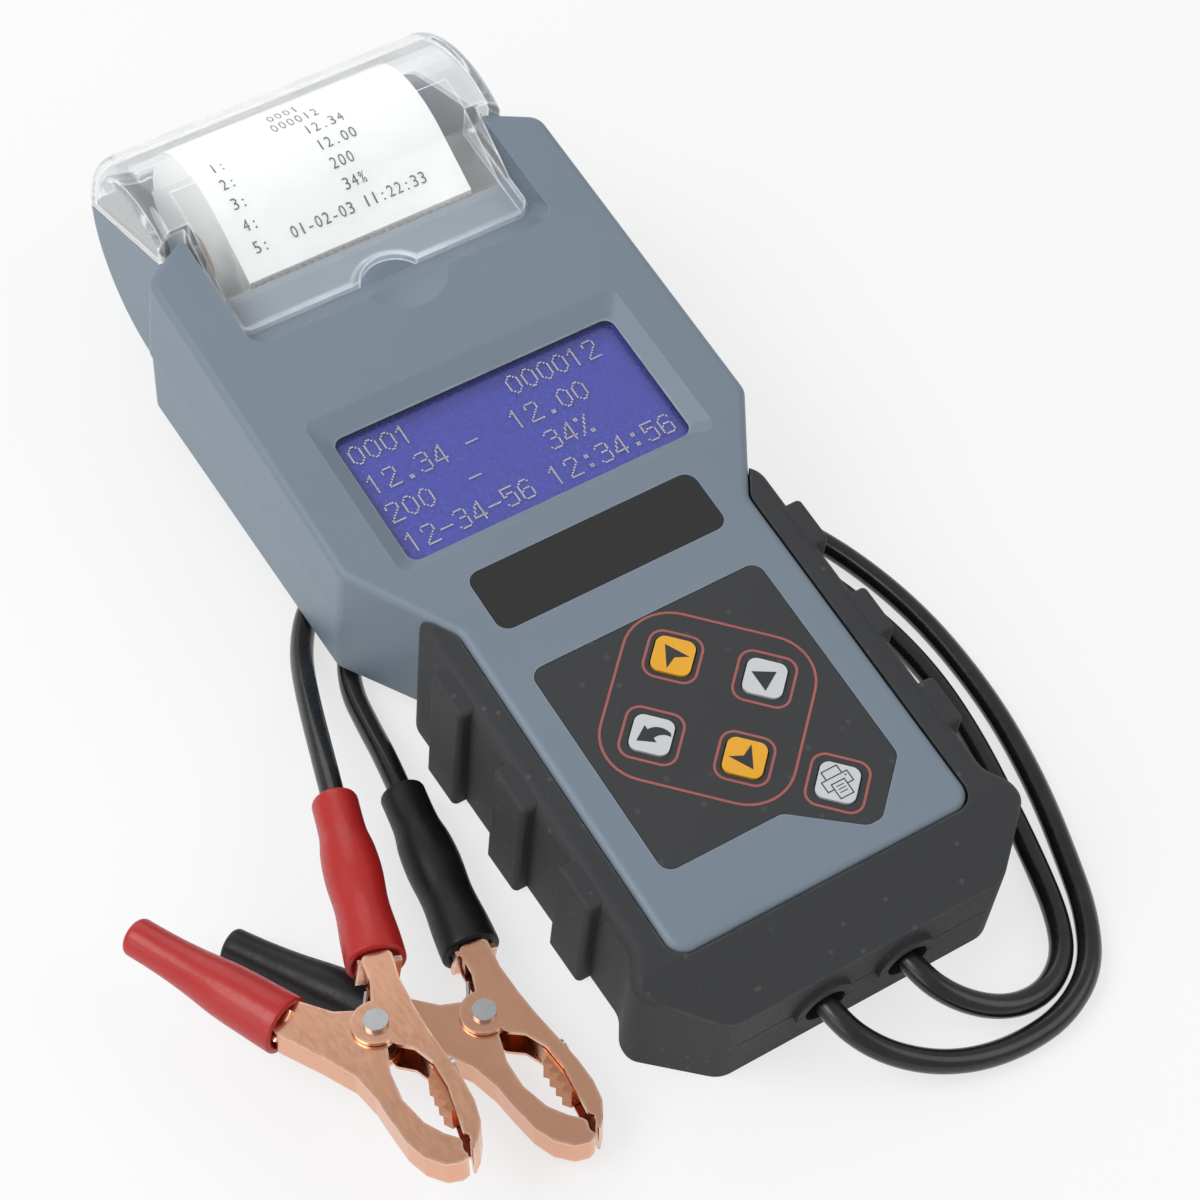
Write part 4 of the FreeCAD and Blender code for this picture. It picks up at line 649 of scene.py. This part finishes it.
def screen_shade(tree: Tree, colour: Socket) -> Socket:
    """Darker band along the upper edge and the sides of the lit screen."""
    axes = tree.split(tree.moved({"Location": FACE_ORIGIN, "Rotation": (TILT, 0.0, 0.0)}))
    left = tree.spread(axes["X"], (-0.0355, -0.031), (0.6, 0.0))
    right = tree.spread(axes["X"], (0.032, 0.0355), (0.0, 0.6))
    upper = tree.spread(axes["Y"], (0.049, 0.0545), (0.0, 0.9))
    sides = tree.math("MAXIMUM", left, right)
    return tree.mix(tree.math("MAXIMUM", sides, upper), colour, SCREEN_SHADE)


# Sub-assemblies


class Dresser:
    """Gives the packed nodes their finishes."""

    def __init__(self, palette: Palette) -> None:
        """Make the finishes once."""
        made = palette.make
        self.skins = {name: made(f) for name, f in {
            "shell": SHELL, "boot": BOOT, "overlay": OVERLAY, "label": LABEL, "copper": COPPER,
            "strip": DARK_COPPER, "zinc": ZINC, "steel": STEEL, "tear": TEAR_STEEL, "black": BLACK_PLASTIC,
            "board": BOARD, "platen": PLATEN, "gear": GEAR, "card": CARD, "cell": CELL, "yellow": YELLOW,
            "grey": GREY, "icon": ICON, "ring": RING, "print": PRINT, "dots": DOTS, "paper": PAPER,
            "red_vinyl": RED_VINYL, "black_vinyl": BLACK_VINYL, "lead": LEAD_SKIN,
        }.items()}
        self.skins["roll"] = made(Finish(**{**PAPER.__dict__, "name": "wound_paper"}), wound_edges)
        self.skins["screen"] = made(SCREEN, screen_shade)
        # The door's rims carry a painted glow.
        self.skins["door"] = palette.clear("door_polycarbonate", (0.95, 0.96, 0.965), (0.02, 0.06),
                                           rim=0.55, wave=0.00003, clarity=0.92)
        self.skins["lens"] = palette.clear("lens_acrylic", (0.97, 0.975, 0.99), (0.02, 0.05), rim=0.0,
                                           wave=0.00001)

    def dress(self) -> None:
        """Put a finish on every packed node."""
        groups = {
            "shell": ("front_shell", "rear_shell", "battery_cover"), "boot": ("rubber_boot",),
            "lens": ("lcd_lens",), "screen": ("lcd_module",), "label": ("label_plate",),
            "overlay": ("keypad_overlay",), "board": ("main_pcb",), "tear": ("tear_bar",),
            "black": ("tact_switches", "roll_spindle", "print_head", "left_gland", "right_gland"),
            "steel": ("pcb_screws", "case_screws", "hinge_pins", "printer_frame", "printer_motor",
                      "battery_contacts", "cover_screws"),
            "paper": ("paper_web",), "roll": ("paper_roll",), "card": ("paper_core",),
            "platen": ("platen_roller",),
            "gear": ("platen_gear", "idler_gear", "motor_pinion"), "cell": ("battery_cells",),
            "door": ("printer_door",), "yellow": ("key_up", "key_down"),
            "grey": ("key_left", "key_right", "key_print"), "lead": ("red_lead", "black_lead"),
        }
        clamp = {"copper": ("fixed_jaw", "moving_jaw"), "strip": ("contact_strip",),
                 "zinc": ("pivot_rivet", "spring", "strip_rivet", "crimp")}
        for skin, names in clamp.items():
            groups[skin] = tuple(f"{side.value}_{name}" for side in Side for name in names)
        for colour in (side.value for side in Side):
            groups[colour + "_vinyl"] = (colour + "_cable_sleeve", colour + "_free_sleeve")
        for skin, nodes in groups.items():
            for node in nodes:
                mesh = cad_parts[node].data
                mesh.materials.clear()
                mesh.materials.append(self.skins[skin])
                LOG.info("%s has %s", node, skin)


GLYPHS = {
    "0": (12, 18, 33, 33, 33, 33, 33, 33, 18, 12), "1": (8, 24, 40, 8, 8, 8, 8, 8, 8, 8),
    "2": (30, 33, 33, 1, 2, 4, 8, 16, 32, 63), "3": (30, 33, 1, 1, 14, 1, 1, 1, 33, 30),
    "4": (2, 6, 10, 10, 18, 18, 34, 63, 2, 2), "5": (63, 32, 32, 46, 49, 1, 1, 1, 33, 30),
    "6": (14, 17, 32, 32, 46, 49, 33, 33, 33, 30), "-": (0, 0, 0, 0, 0, 63, 0, 0, 0, 0),
    ".": (0, 0, 0, 0, 0, 0, 0, 0, 12, 12), ":": (0, 0, 12, 12, 0, 0, 0, 12, 12, 0),
    "%": (49, 50, 2, 4, 4, 8, 8, 16, 19, 35),
}
GLYPH_COLUMNS = 6


def dot_tree() -> NodeGroup:
    """Geometry nodes that set a small block on each point."""
    group = bpy.data.node_groups.new("screen_dot_field", "GeometryNodeTree")
    for key, way, kind in (("Points", "INPUT", "Geometry"), ("Dot Size", "INPUT", "Vector"),
                           ("Finish", "INPUT", "Material"), ("Dots", "OUTPUT", "Geometry")):
        group.interface.new_socket(key, in_out=way, socket_type="NodeSocket" + kind)
    tree = Tree(group)
    feed, out = tree.add("NodeGroupInput"), tree.add("NodeGroupOutput")
    block = tree.add("GeometryNodeMeshCube")
    spread = tree.add("GeometryNodeInstanceOnPoints")
    real = tree.add("GeometryNodeRealizeInstances")
    skin = tree.add("GeometryNodeSetMaterial")
    tree.link(feed.outputs["Dot Size"], block.inputs["Size"])
    tree.link(feed.outputs["Points"], spread.inputs["Points"])
    tree.link(block.outputs["Mesh"], spread.inputs["Instance"])
    tree.link(spread.outputs[0], real.inputs[0])
    tree.link(real.outputs[0], skin.inputs["Geometry"])
    tree.link(feed.outputs["Finish"], skin.inputs["Material"])
    tree.link(skin.outputs[0], out.inputs[0])
    return group


def grown(name: str, points: Sequence[Point3], tree: NodeGroup, values: dict) -> bpy.types.Mesh:
    """Run a geometry tree on points and return the plain mesh.

    Args:
        name: Name of the mesh.
        points: Points that the tree takes.
        tree: The geometry tree.
        values: Values by input name.

    Returns:
        The realised mesh, in the points' own units.
    """
    seed = bpy.data.meshes.new(name + "_points")
    seed.from_pydata([tuple(p) for p in points], [], [])
    holder = link_object(name + "_holder", seed)
    change = holder.modifiers.new("grow", "NODES")
    change.node_group = tree
    for item in tree.interface.items_tree:
        if item.item_type == "SOCKET" and item.in_out == "INPUT" and item.name in values:
            change[item.identifier] = values[item.name]
    mesh = baked(holder)
    bpy.data.meshes.remove(seed)
    mesh.name = name
    return mesh


@dataclass
class Screen:
    """Lit dot screen with plain numbers."""

    pitch: float = 0.52
    dot: float = 0.36
    tall: int = 16
    centre_y: float = 36.95
    lines: tuple[str, ...] = ("0001      000012", "12.34 -  12.00", "200  -    34%", "12-34-56 12:34:56")
    step: float = 7.55
    half_dots: tuple[int, int] = (64, 32)
    margin: tuple[int, int] = (1, 3)
    depth: float = 0.06

    def points(self, height: float) -> list[Point3]:
        """Centres of the lit dots, in the face frame."""
        lit = []
        for k, text in enumerate(self.lines):
            for c, sign in enumerate(text):
                if sign not in GLYPHS:
                    continue
                for j, row in enumerate(GLYPHS[sign]):
                    for i in range(GLYPH_COLUMNS):
                        if row >> (GLYPH_COLUMNS - 1 - i) & 1:
                            x = c * self.step + i + self.margin[0] - self.half_dots[0]
                            y = self.half_dots[1] - k * self.tall - j - self.margin[1]
                            lit.append((x * self.pitch, self.centre_y + y * self.pitch, height))
        return lit

    def build(self, skin: Material) -> None:
        """Make the dots and set them on the display."""
        mesh = grown("screen_digits", self.points(node_top("lcd_module") + self.depth / 2), dot_tree(),
                     {"Dot Size": (self.dot, self.dot, self.depth), "Finish": skin})
        mesh.transform(FACE)
        settle(link_object("screen_digits", mesh), skin, Body.CASE.value, "display")


@dataclass
class Keypad:
    """Printed rings round the keys and the signs on them."""

    keys: dict[str, Point2] = field(default_factory=lambda: {
        "key_up": (0.0, -27.75), "key_right": (13.75, -41.5), "key_left": (-13.75, -41.5),
        "key_down": (0.0, -55.25), "key_print": (13.4, -69.3)})
    yellow: tuple[str, str] = ("key_up", "key_down")
    line: float = 0.55
    yellow_half: float = 5.95
    grey_half: float = 6.35
    corner: float = 3.2
    group_centre: Point2 = (0.0, -41.5)
    group_half: float = 20.6
    group_corner: float = 10.6
    arrow: tuple[Point2, ...] = ((0.0, 3.2), (-2.8, -1.9), (0.0, -0.5), (2.8, -1.9))
    triangle: tuple[Point2, ...] = ((2.9, 0.0), (-1.6, 2.7), (-1.6, -2.7))
    printer: tuple[tuple[float, float, float, float], ...] = (
        (-2.0, 1.6, -1.75, 3.6), (1.75, 1.6, 2.0, 3.6), (-1.75, 3.35, 1.75, 3.6), (-3.2, 1.35, 3.2, 1.6),
        (-3.2, -0.95, -2.95, 1.35), (2.95, -0.95, 3.2, 1.35), (-3.2, -1.2, -1.7, -0.95),
        (1.7, -1.2, 3.2, -0.95), (-1.7, -3.35, -1.45, 0.0), (1.45, -3.35, 1.7, 0.0),
        (-1.7, -3.6, 1.7, -3.35), (-1.7, 0.0, 1.7, 0.25),
        (-0.9, -0.85, 0.9, -0.65), (-0.9, -1.6, 0.9, -1.4), (-0.9, -2.35, 0.9, -2.15), (2.1, 0.6, 2.5, 0.9))

    def ring(self, solid: Solid, centre: Point2, half: float, radius: float, height: float) -> None:
        """Add one printed ring, turned like the keys."""
        outer = turned(rounded_square(half, radius), 45, centre)
        inner = turned(rounded_square(half - self.line, radius - self.line), 45, centre)
        solid.band(outer, inner, height, height + FILM)

    def rings(self, skin: Material) -> None:
        """Print the rings on the film."""
        height = node_top("keypad_overlay")
        solid = Solid()
        for name, centre in self.keys.items():
            half = self.yellow_half if name in self.yellow else self.grey_half
            self.ring(solid, centre, half, self.corner, height)
        self.ring(solid, self.group_centre, self.group_half, self.group_corner, height)
        settle(mesh_piece("keypad_rings", solid.verts, solid.faces, FACE), skin, Body.CASE.value, "overlay")

    def back_arrow(self) -> list[Point2]:
        """Outline of the bent arrow on the left key."""
        outline = [(-3.5, 0.4), (-0.1, -2.0), (-0.1, -0.9)]
        inner = [(0.4 + 2.9 * math.sin(a), -3.3 + 2.5 * math.cos(a)) for a in
                 [math.radians(10 * i) for i in range(0, 8)]]
        outer = [(0.2 + 3.4 * math.sin(a), -2.4 + 3.9 * math.cos(a)) for a in
                 [math.radians(10 * i) for i in range(8, -1, -1)]]
        return outline + inner + outer + [(-0.1, 1.5), (-0.1, 2.6)]

    def signs(self, skin: Material) -> None:
        """Print a sign on each key."""
        bars = [((x0, y0), (x1, y0), (x1, y1), (x0, y1)) for x0, y0, x1, y1 in self.printer]
        outlines = {"key_up": [self.arrow], "key_down": [turned(self.arrow, 180, (0.0, 0.0))],
                    "key_right": [self.triangle], "key_left": [self.back_arrow()], "key_print": bars}
        for name, centre in self.keys.items():
            low = node_top(name)
            solid = Solid()
            for outline in outlines[name]:
                solid.plate(turned(outline, 0, centre), low, low + FILM)
            piece = mesh_piece(name + "_sign", solid.verts, solid.faces, FACE, False)
            settle(piece, skin, name, "overlay")


@dataclass
class Receipt:
    """Plain numbers printed on the paper, which comes over the roll and down to the tear edge."""

    centre: Point2 = (127.986, -25.015)
    radius: float = 25.6
    bend: Point2 = (104.1, -7.5)
    inner: float = 25.3
    lift: float = 0.14
    height: float = 2.9
    pitch: float = 2.06
    cell: float = 1.5
    widest: float = 1.45
    rows: tuple[tuple[float, float, str], ...] = (
        (5.3, -14.6, "01-02-03"), (5.3, 4.0, "11:22:33"), (5.3, -24.0, "5:"), (10.8, 1.6, "34%"),
        (10.8, -24.0, "4:"), (16.3, 1.2, "200"), (16.3, -24.0, "3:"), (21.6, 0.6, "12.00"),
        (21.6, -24.0, "2:"), (26.8, 0.2, "12.34"), (26.8, -24.0, "1:"), (31.4, -6.0, "000012"),
        (35.6, -5.0, "0001"))

    def surface(self, x: float, s: float, out: float) -> Point3:
        """Point on the paper, in the face frame.

        Args:
            x: Place across the paper.
            s: Distance up the paper from the tear edge.
            out: Height above the paper.

        Returns:
            The point.
        """
        dy, dz = self.bend[0] - self.centre[0], self.bend[1] - self.centre[1]
        far = math.hypot(dy, dz)
        touch = math.atan2(dz, dy) - math.acos(self.inner / far)
        straight = math.sqrt(far ** 2 - self.inner ** 2)
        reach = self.radius + out
        angle = touch - max(0.0, s - straight) / self.radius
        y = self.centre[0] + reach * math.cos(angle)
        z = self.centre[1] + reach * math.sin(angle)
        left = max(0.0, straight - s)
        return x, y - left * math.sin(touch), z + left * math.cos(touch)

    def sign_mesh(self, sign: str) -> tuple[list[Point2], list[tuple[int, ...]]]:
        """Flat corners and faces of one printed sign, a unit high."""
        text = bpy.data.curves.new("sign", "FONT")
        text.body = sign
        text.resolution_u = 3
        holder = link_object("sign_holder", text)
        mesh = baked(holder)
        corners = [(v.co.x, v.co.y) for v in mesh.vertices]
        faces = [tuple(p.vertices) for p in mesh.polygons]
        bpy.data.meshes.remove(mesh)
        bpy.data.curves.remove(text)
        return corners, faces

    def build(self, skin: Material) -> None:
        """Print the rows."""
        used = sorted({c for _, _, text in self.rows for c in text})
        known = {sign: self.sign_mesh(sign) for sign in used}
        tall = self.height / FONT_TALL
        verts: list[Point3] = []
        faces: list[tuple[int, ...]] = []
        for s, x, text in self.rows:
            for i, sign in enumerate(text):
                corners, loops = known[sign]
                left = min(u for u, _ in corners)
                wide = max(u for u, _ in corners) - left
                scale = min(1.0, self.widest / (wide * tall)) * tall
                start = x + i * self.pitch + (self.cell - wide * scale) / 2
                base = len(verts)
                for u, v in corners:
                    verts.append(self.surface(start + (u - left) * scale, s + v * tall, self.lift))
                faces += [tuple(base + k for k in loop) for loop in loops]
        settle(mesh_piece("receipt_print", verts, faces, FACE, False), skin, Body.CASE.value, "paper")


@dataclass
class Clamp:
    """One clamp: its soft sleeves, spring and lead."""

    side: Side
    place: Matrix
    start_x: float
    length: float
    route: tuple[tuple[float, ...], ...]
    fixed_arm: tuple[float, float, float] = (5.8, 14.5, 80.4)
    moving_arm: tuple[float, float, float] = (-15.6, 9.6, 121.3)
    rim: tuple[Point2, ...] = (
        (1.3, AXIS_GAP), (1.1, 4.3), (0.4, 4.55), (0.06, 4.9), (0.0, 5.4), (0.1, 5.95), (0.3, 6.2))
    fixed_profile: tuple[Point2, ...] = (
        (0.6, 6.25), (6, 6.1), (14, 5.6), (22, 6.0), (28, 5.75), (33, 5.0), (41.2, 4.9))
    free_profile: tuple[Point2, ...] = (
        (0.6, 6.25), (6, 6.1), (15, 5.7), (23, 4.8), (30, 4.3), (37.6, 4.15))
    sleeve_start: tuple[float, float] = (1.0, -0.4)
    sleeve_sides: int = 48
    end_round: float = 1.4
    plug: Point2 = (30.0, 29.6)
    lead_radius: float = 2.6
    lead_fit: float = 0.12
    lead_exit: Point2 = (-94.76, 13.87)
    first_run: float = 9.9
    entry: Point2 = (50.8, 31.0)
    floor: float = 2.7
    spring: tuple[float, float, float, float] = (3.0, 0.45, 1.34, 8.5)
    spring_start: float = 62.0
    spring_turn: float = 630.0
    spring_steps: int = 72
    blend_share: float = 0.8

    def arm(self, fixed: bool) -> Matrix:
        """Matrix from a handle's own axis to the row frame."""
        x, y, angle = self.fixed_arm if fixed else self.moving_arm
        aim = Vector((math.cos(math.radians(angle)), math.sin(math.radians(angle)), 0))
        turn = Vector((0, 0, 1)).rotation_difference(aim).to_matrix().to_4x4()
        return self.place @ Matrix.Translation((x, y, 0)) @ turn

    def sleeve(self, fixed: bool, skin: Material) -> Piece:
        """Dipped sleeve with a rolled rim and soft swellings."""
        outside = smooth_profile(self.fixed_profile if fixed else self.free_profile, 6)
        end, last = outside[-1]
        if fixed:
            hole = self.lead_radius + self.lead_fit
            tail = [(end + 0.5, last - 0.18), (end + 0.75, last - 0.6), (end + 0.8, hole + 0.5),
                    (end + 0.6, hole), (self.plug[0], hole), (self.plug[1], AXIS_GAP)]
        else:
            soft = self.end_round
            tail = [(end + soft * math.sin(a), last - soft + soft * math.cos(a))
                    for a in [math.radians(15 * i) for i in range(1, 7)]]
            tail += [(end + soft, AXIS_GAP)]
        solid = Solid()
        start = self.sleeve_start[0 if fixed else 1]
        profile = list(self.rim) + outside + tail
        solid.lathe([(s + start, r) for s, r in profile], self.sleeve_sides)
        kind = "cable_sleeve" if fixed else "free_sleeve"
        node = f"{self.side.value}_{kind}"
        piece = mesh_piece(node + "_skin", solid.verts, solid.faces, self.arm(fixed))
        body = Body.CASE if fixed else self.side.jaw
        settle(piece, skin, body.value, self.side.value + "_sleeve", node)
        return piece

    def coil(self, skin: Material) -> Piece:
        """Torsion spring round the rivet, with a leg along each handle."""
        radius, wire, pitch, leg = self.spring
        begin = math.radians(self.spring_start)
        total = math.radians(self.spring_turn)
        rise = pitch / (2 * math.pi)
        path = []
        for i in range(self.spring_steps + 1):
            share = i / self.spring_steps
            angle = begin - total * share
            height = rise * total * (share - 0.5)
            path.append(Vector((radius * math.cos(angle), radius * math.sin(angle), height)))
        first, last = (Vector((radius * math.sin(a), -radius * math.cos(a), rise)).normalized()
                       for a in (begin, begin - total))
        lead_in = [path[0] - first * leg, path[0] - first * leg / 2]
        lead_out = [path[-1] + last * leg / 2, path[-1] + last * leg]
        line = strand("spring_line", "POLY", lead_in + path + lead_out, wire, 3)
        mesh = baked(link_object("spring_holder", line))
        mesh.transform(self.place)
        for face in mesh.polygons:
            face.use_smooth = True
        node = self.side.value + "_spring"
        piece = link_object(node + "_wire", mesh)
        piece.data.materials.clear()
        piece.data.materials.append(skin)
        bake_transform(piece)
        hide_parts(node)
        LOG.info("%s bends from the case to %s", piece.name, self.side.jaw.value)
        return piece

    def lead(self, skin: Material, ends: Sequence[Piece]) -> None:
        """Jacketed lead from the gland to the clamp.

        Args:
            skin: Finish of the jacket.
            ends: Pieces of the clamp; not used.
        """
        start = Vector((self.start_x, self.lead_exit[0] + ROW_SHIFT, self.lead_exit[1]))
        aim = Vector((0, -math.cos(TILT), -math.sin(TILT)))
        points = [start, start + aim * self.first_run]
        for x, y, *z in self.route:
            points.append(Vector((x, y + ROW_SHIFT, z[0] if z else self.floor)))
        arm = self.arm(True)
        points = [p * MM for p in points] + [arm @ Vector((0, 0, s)) for s in self.entry]
        line = strand(self.side.value + "_lead_line", "NURBS", points, self.lead_radius * MM, 6)
        line.resolution_u = 10
        thread = line.splines[0]
        thread.order_u = 3
        thread.use_endpoint_u = True
        node = self.side.value + "_lead"
        piece = link_object(node + "_jacket", line)
        settle(piece, skin, Body.CASE.value, "lead", node)

    def build(self, skins: dict[str, Material]) -> None:
        """Make the soft pieces, the spring and the lead."""
        vinyl = skins[self.side.value + "_vinyl"]
        ends = [self.sleeve(True, vinyl), self.sleeve(False, vinyl), self.coil(skins["zinc"])]
        ends += [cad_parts[f"{self.side.value}_{name}"] for name in (
            "fixed_jaw", "moving_jaw", "pivot_rivet", "contact_strip", "strip_rivet", "crimp")]
        self.lead(skins["lead"], ends)


def clamp_place(x: float, y: float, z: float, yaw: float, roll: float) -> Matrix:
    """Matrix from a clamp's own millimetres to the row frame."""
    turn = Euler((math.radians(roll), 0.0, math.radians(yaw)), "XYZ").to_matrix().to_4x4()
    return Matrix.Translation((x * MM, (y + ROW_SHIFT) * MM, z * MM)) @ turn @ Matrix.Scale(MM, 4)


RED_ROUTE = (
    (-5.8, -113.5, 10.2), (2, -119.9, 7.2), (11.5, -123.6, 4.6), (22.5, -125, 3), (34.5, -124), (45.6, -118),
    (52.6, -107), (57.2, -94), (62.5, -77), (66.2, -59), (67.6, -43), (67.4, -27), (65, -11.5), (60.5, 3.5),
    (53, 18), (41.5, 30), (25, 40.5), (5, 47.5), (-15, 52), (-33, 53.5), (-46.5, 48), (-55, 36.5, 4.6),
    (-61, 22, 9.4))
BLACK_ROUTE = (
    (14.9, -113.2, 10), (23.5, -118.2, 6.4), (33.5, -118.2, 3.6), (42, -113.2), (47, -104.6), (51, -91),
    (54.8, -75), (58.2, -59), (60, -43), (59.4, -28), (56.5, -13), (52, 1.5), (46, 14.5), (35, 25), (19, 32),
    (1, 37), (-16, 40), (-33, 39.5), (-44.5, 34), (-50.5, 22.5), (-52.4, 10, 4.2))


@dataclass
class Studio:
    """Floor, lamps, world and camera."""

    lens: float = 95.165
    eye: Point3 = (-0.2204252, -0.3752105, 0.5657877)
    axes: tuple[Point3, Point3, Point3] = (
        (0.8518481, 0.4110768, -0.3246084), (-0.5236405, 0.6831024, -0.5090892),
        (0.012466, 0.6036448, 0.7971559))
    lamps: tuple[tuple[str, Point3, float, float], ...] = (
        ("key_lamp", (-0.75, 0.15, 0.95), 0.8, 6.6), ("fill_lamp", (0.7, -0.6, 0.8), 0.9, 2.4),
        ("back_lamp", (0.2, 1.0, 0.7), 0.9, 2.4), ("side_lamp", (-0.95, -0.2, 0.35), 0.7, 1.4))
    world: float = 0.5
    floor_half: float = 3.0
    floor_tone: float = 0.86
    floor_glow: float = 0.7
    aim: Point3 = (0.0, 0.0, 0.02)

    def floor(self) -> None:
        """Pale floor that reads white to the camera and keeps the shadow."""
        half = self.floor_half
        corners = [(-half, -half, 0), (half, -half, 0), (half, half, 0), (-half, half, 0)]
        solid = bpy.data.meshes.new("floor")
        solid.from_pydata(corners, [], [(0, 1, 2, 3)])
        piece = link_object("floor", solid)
        made = bpy.data.materials.new("pale_floor")
        made.use_nodes = True
        tree = Tree(made.node_tree)
        made.node_tree.nodes.clear()
        plain = tree.add("ShaderNodeBsdfDiffuse", {"Color": (*[self.floor_tone] * 3, 1.0)})
        glow = tree.add("ShaderNodeEmission", {"Strength": 1.0})
        path = tree.add("ShaderNodeLightPath")
        seen = tree.math("MAXIMUM", path.outputs["Is Camera Ray"], path.outputs["Is Transmission Ray"])
        seen = tree.math("MAXIMUM", seen, path.outputs["Is Glossy Ray"])
        share = tree.math("MULTIPLY", seen, self.floor_glow)
        tree.either(share, plain, glow, tree.add("ShaderNodeOutputMaterial"))
        solid.materials.append(made)

    def light(self) -> None:
        """Soft lamps and an even sky."""
        for name, place, size, power in self.lamps:
            lamp = bpy.data.lights.new(name, "AREA")
            lamp.shape = "DISK"
            lamp.size = size
            lamp.energy = power
            holder = link_object(name, lamp)
            holder.location = place
            ray = Vector(self.aim) - Vector(place)
            holder.rotation_euler = ray.to_track_quat("-Z", "Y").to_euler()
        sky = bpy.data.worlds.new("even_sky")
        sky.use_nodes = True
        Tree.fill(sky.node_tree.nodes["Background"], {0: (1.0, 1.0, 1.0, 1.0), 1: self.world})
        bpy.context.scene.world = sky

    def camera(self) -> None:
        """Camera at the photograph's place."""
        eye = bpy.data.cameras.new("view")
        eye.lens = self.lens
        eye.sensor_width = 36.0
        eye.clip_start = 0.01
        holder = link_object("view", eye)
        holder.matrix_world = Matrix.Translation(self.eye) @ Matrix(self.axes).to_4x4()
        bpy.context.scene.camera = holder

    def build(self) -> None:
        """Set up the scene round the object."""
        bpy.context.scene.view_settings.view_transform = "Standard"
        self.camera()
        self.floor()
        self.light()


def main() -> None:
    """Build the sub-assemblies in order."""
    logging.basicConfig(level=logging.INFO, format="%(name)s: %(message)s")
    Studio().build()
    dresser = Dresser(Palette())
    dresser.dress()
    skins = dresser.skins
    Clamp(Side.RED, clamp_place(-91.5, -65.2, 21.2, -7.3, -4.0), -10.0, 0.4062, RED_ROUTE).build(skins)
    Clamp(Side.BLACK, clamp_place(-68.3, -66.4, 6.5, 0.0, 0.0), 10.0, 0.3376, BLACK_ROUTE).build(skins)
    Screen().build(skins["dots"])
    keypad = Keypad()
    keypad.rings(skins["ring"])
    keypad.signs(skins["icon"])
    Receipt().build(skins["print"])


if __name__ == "__main__":
    main()
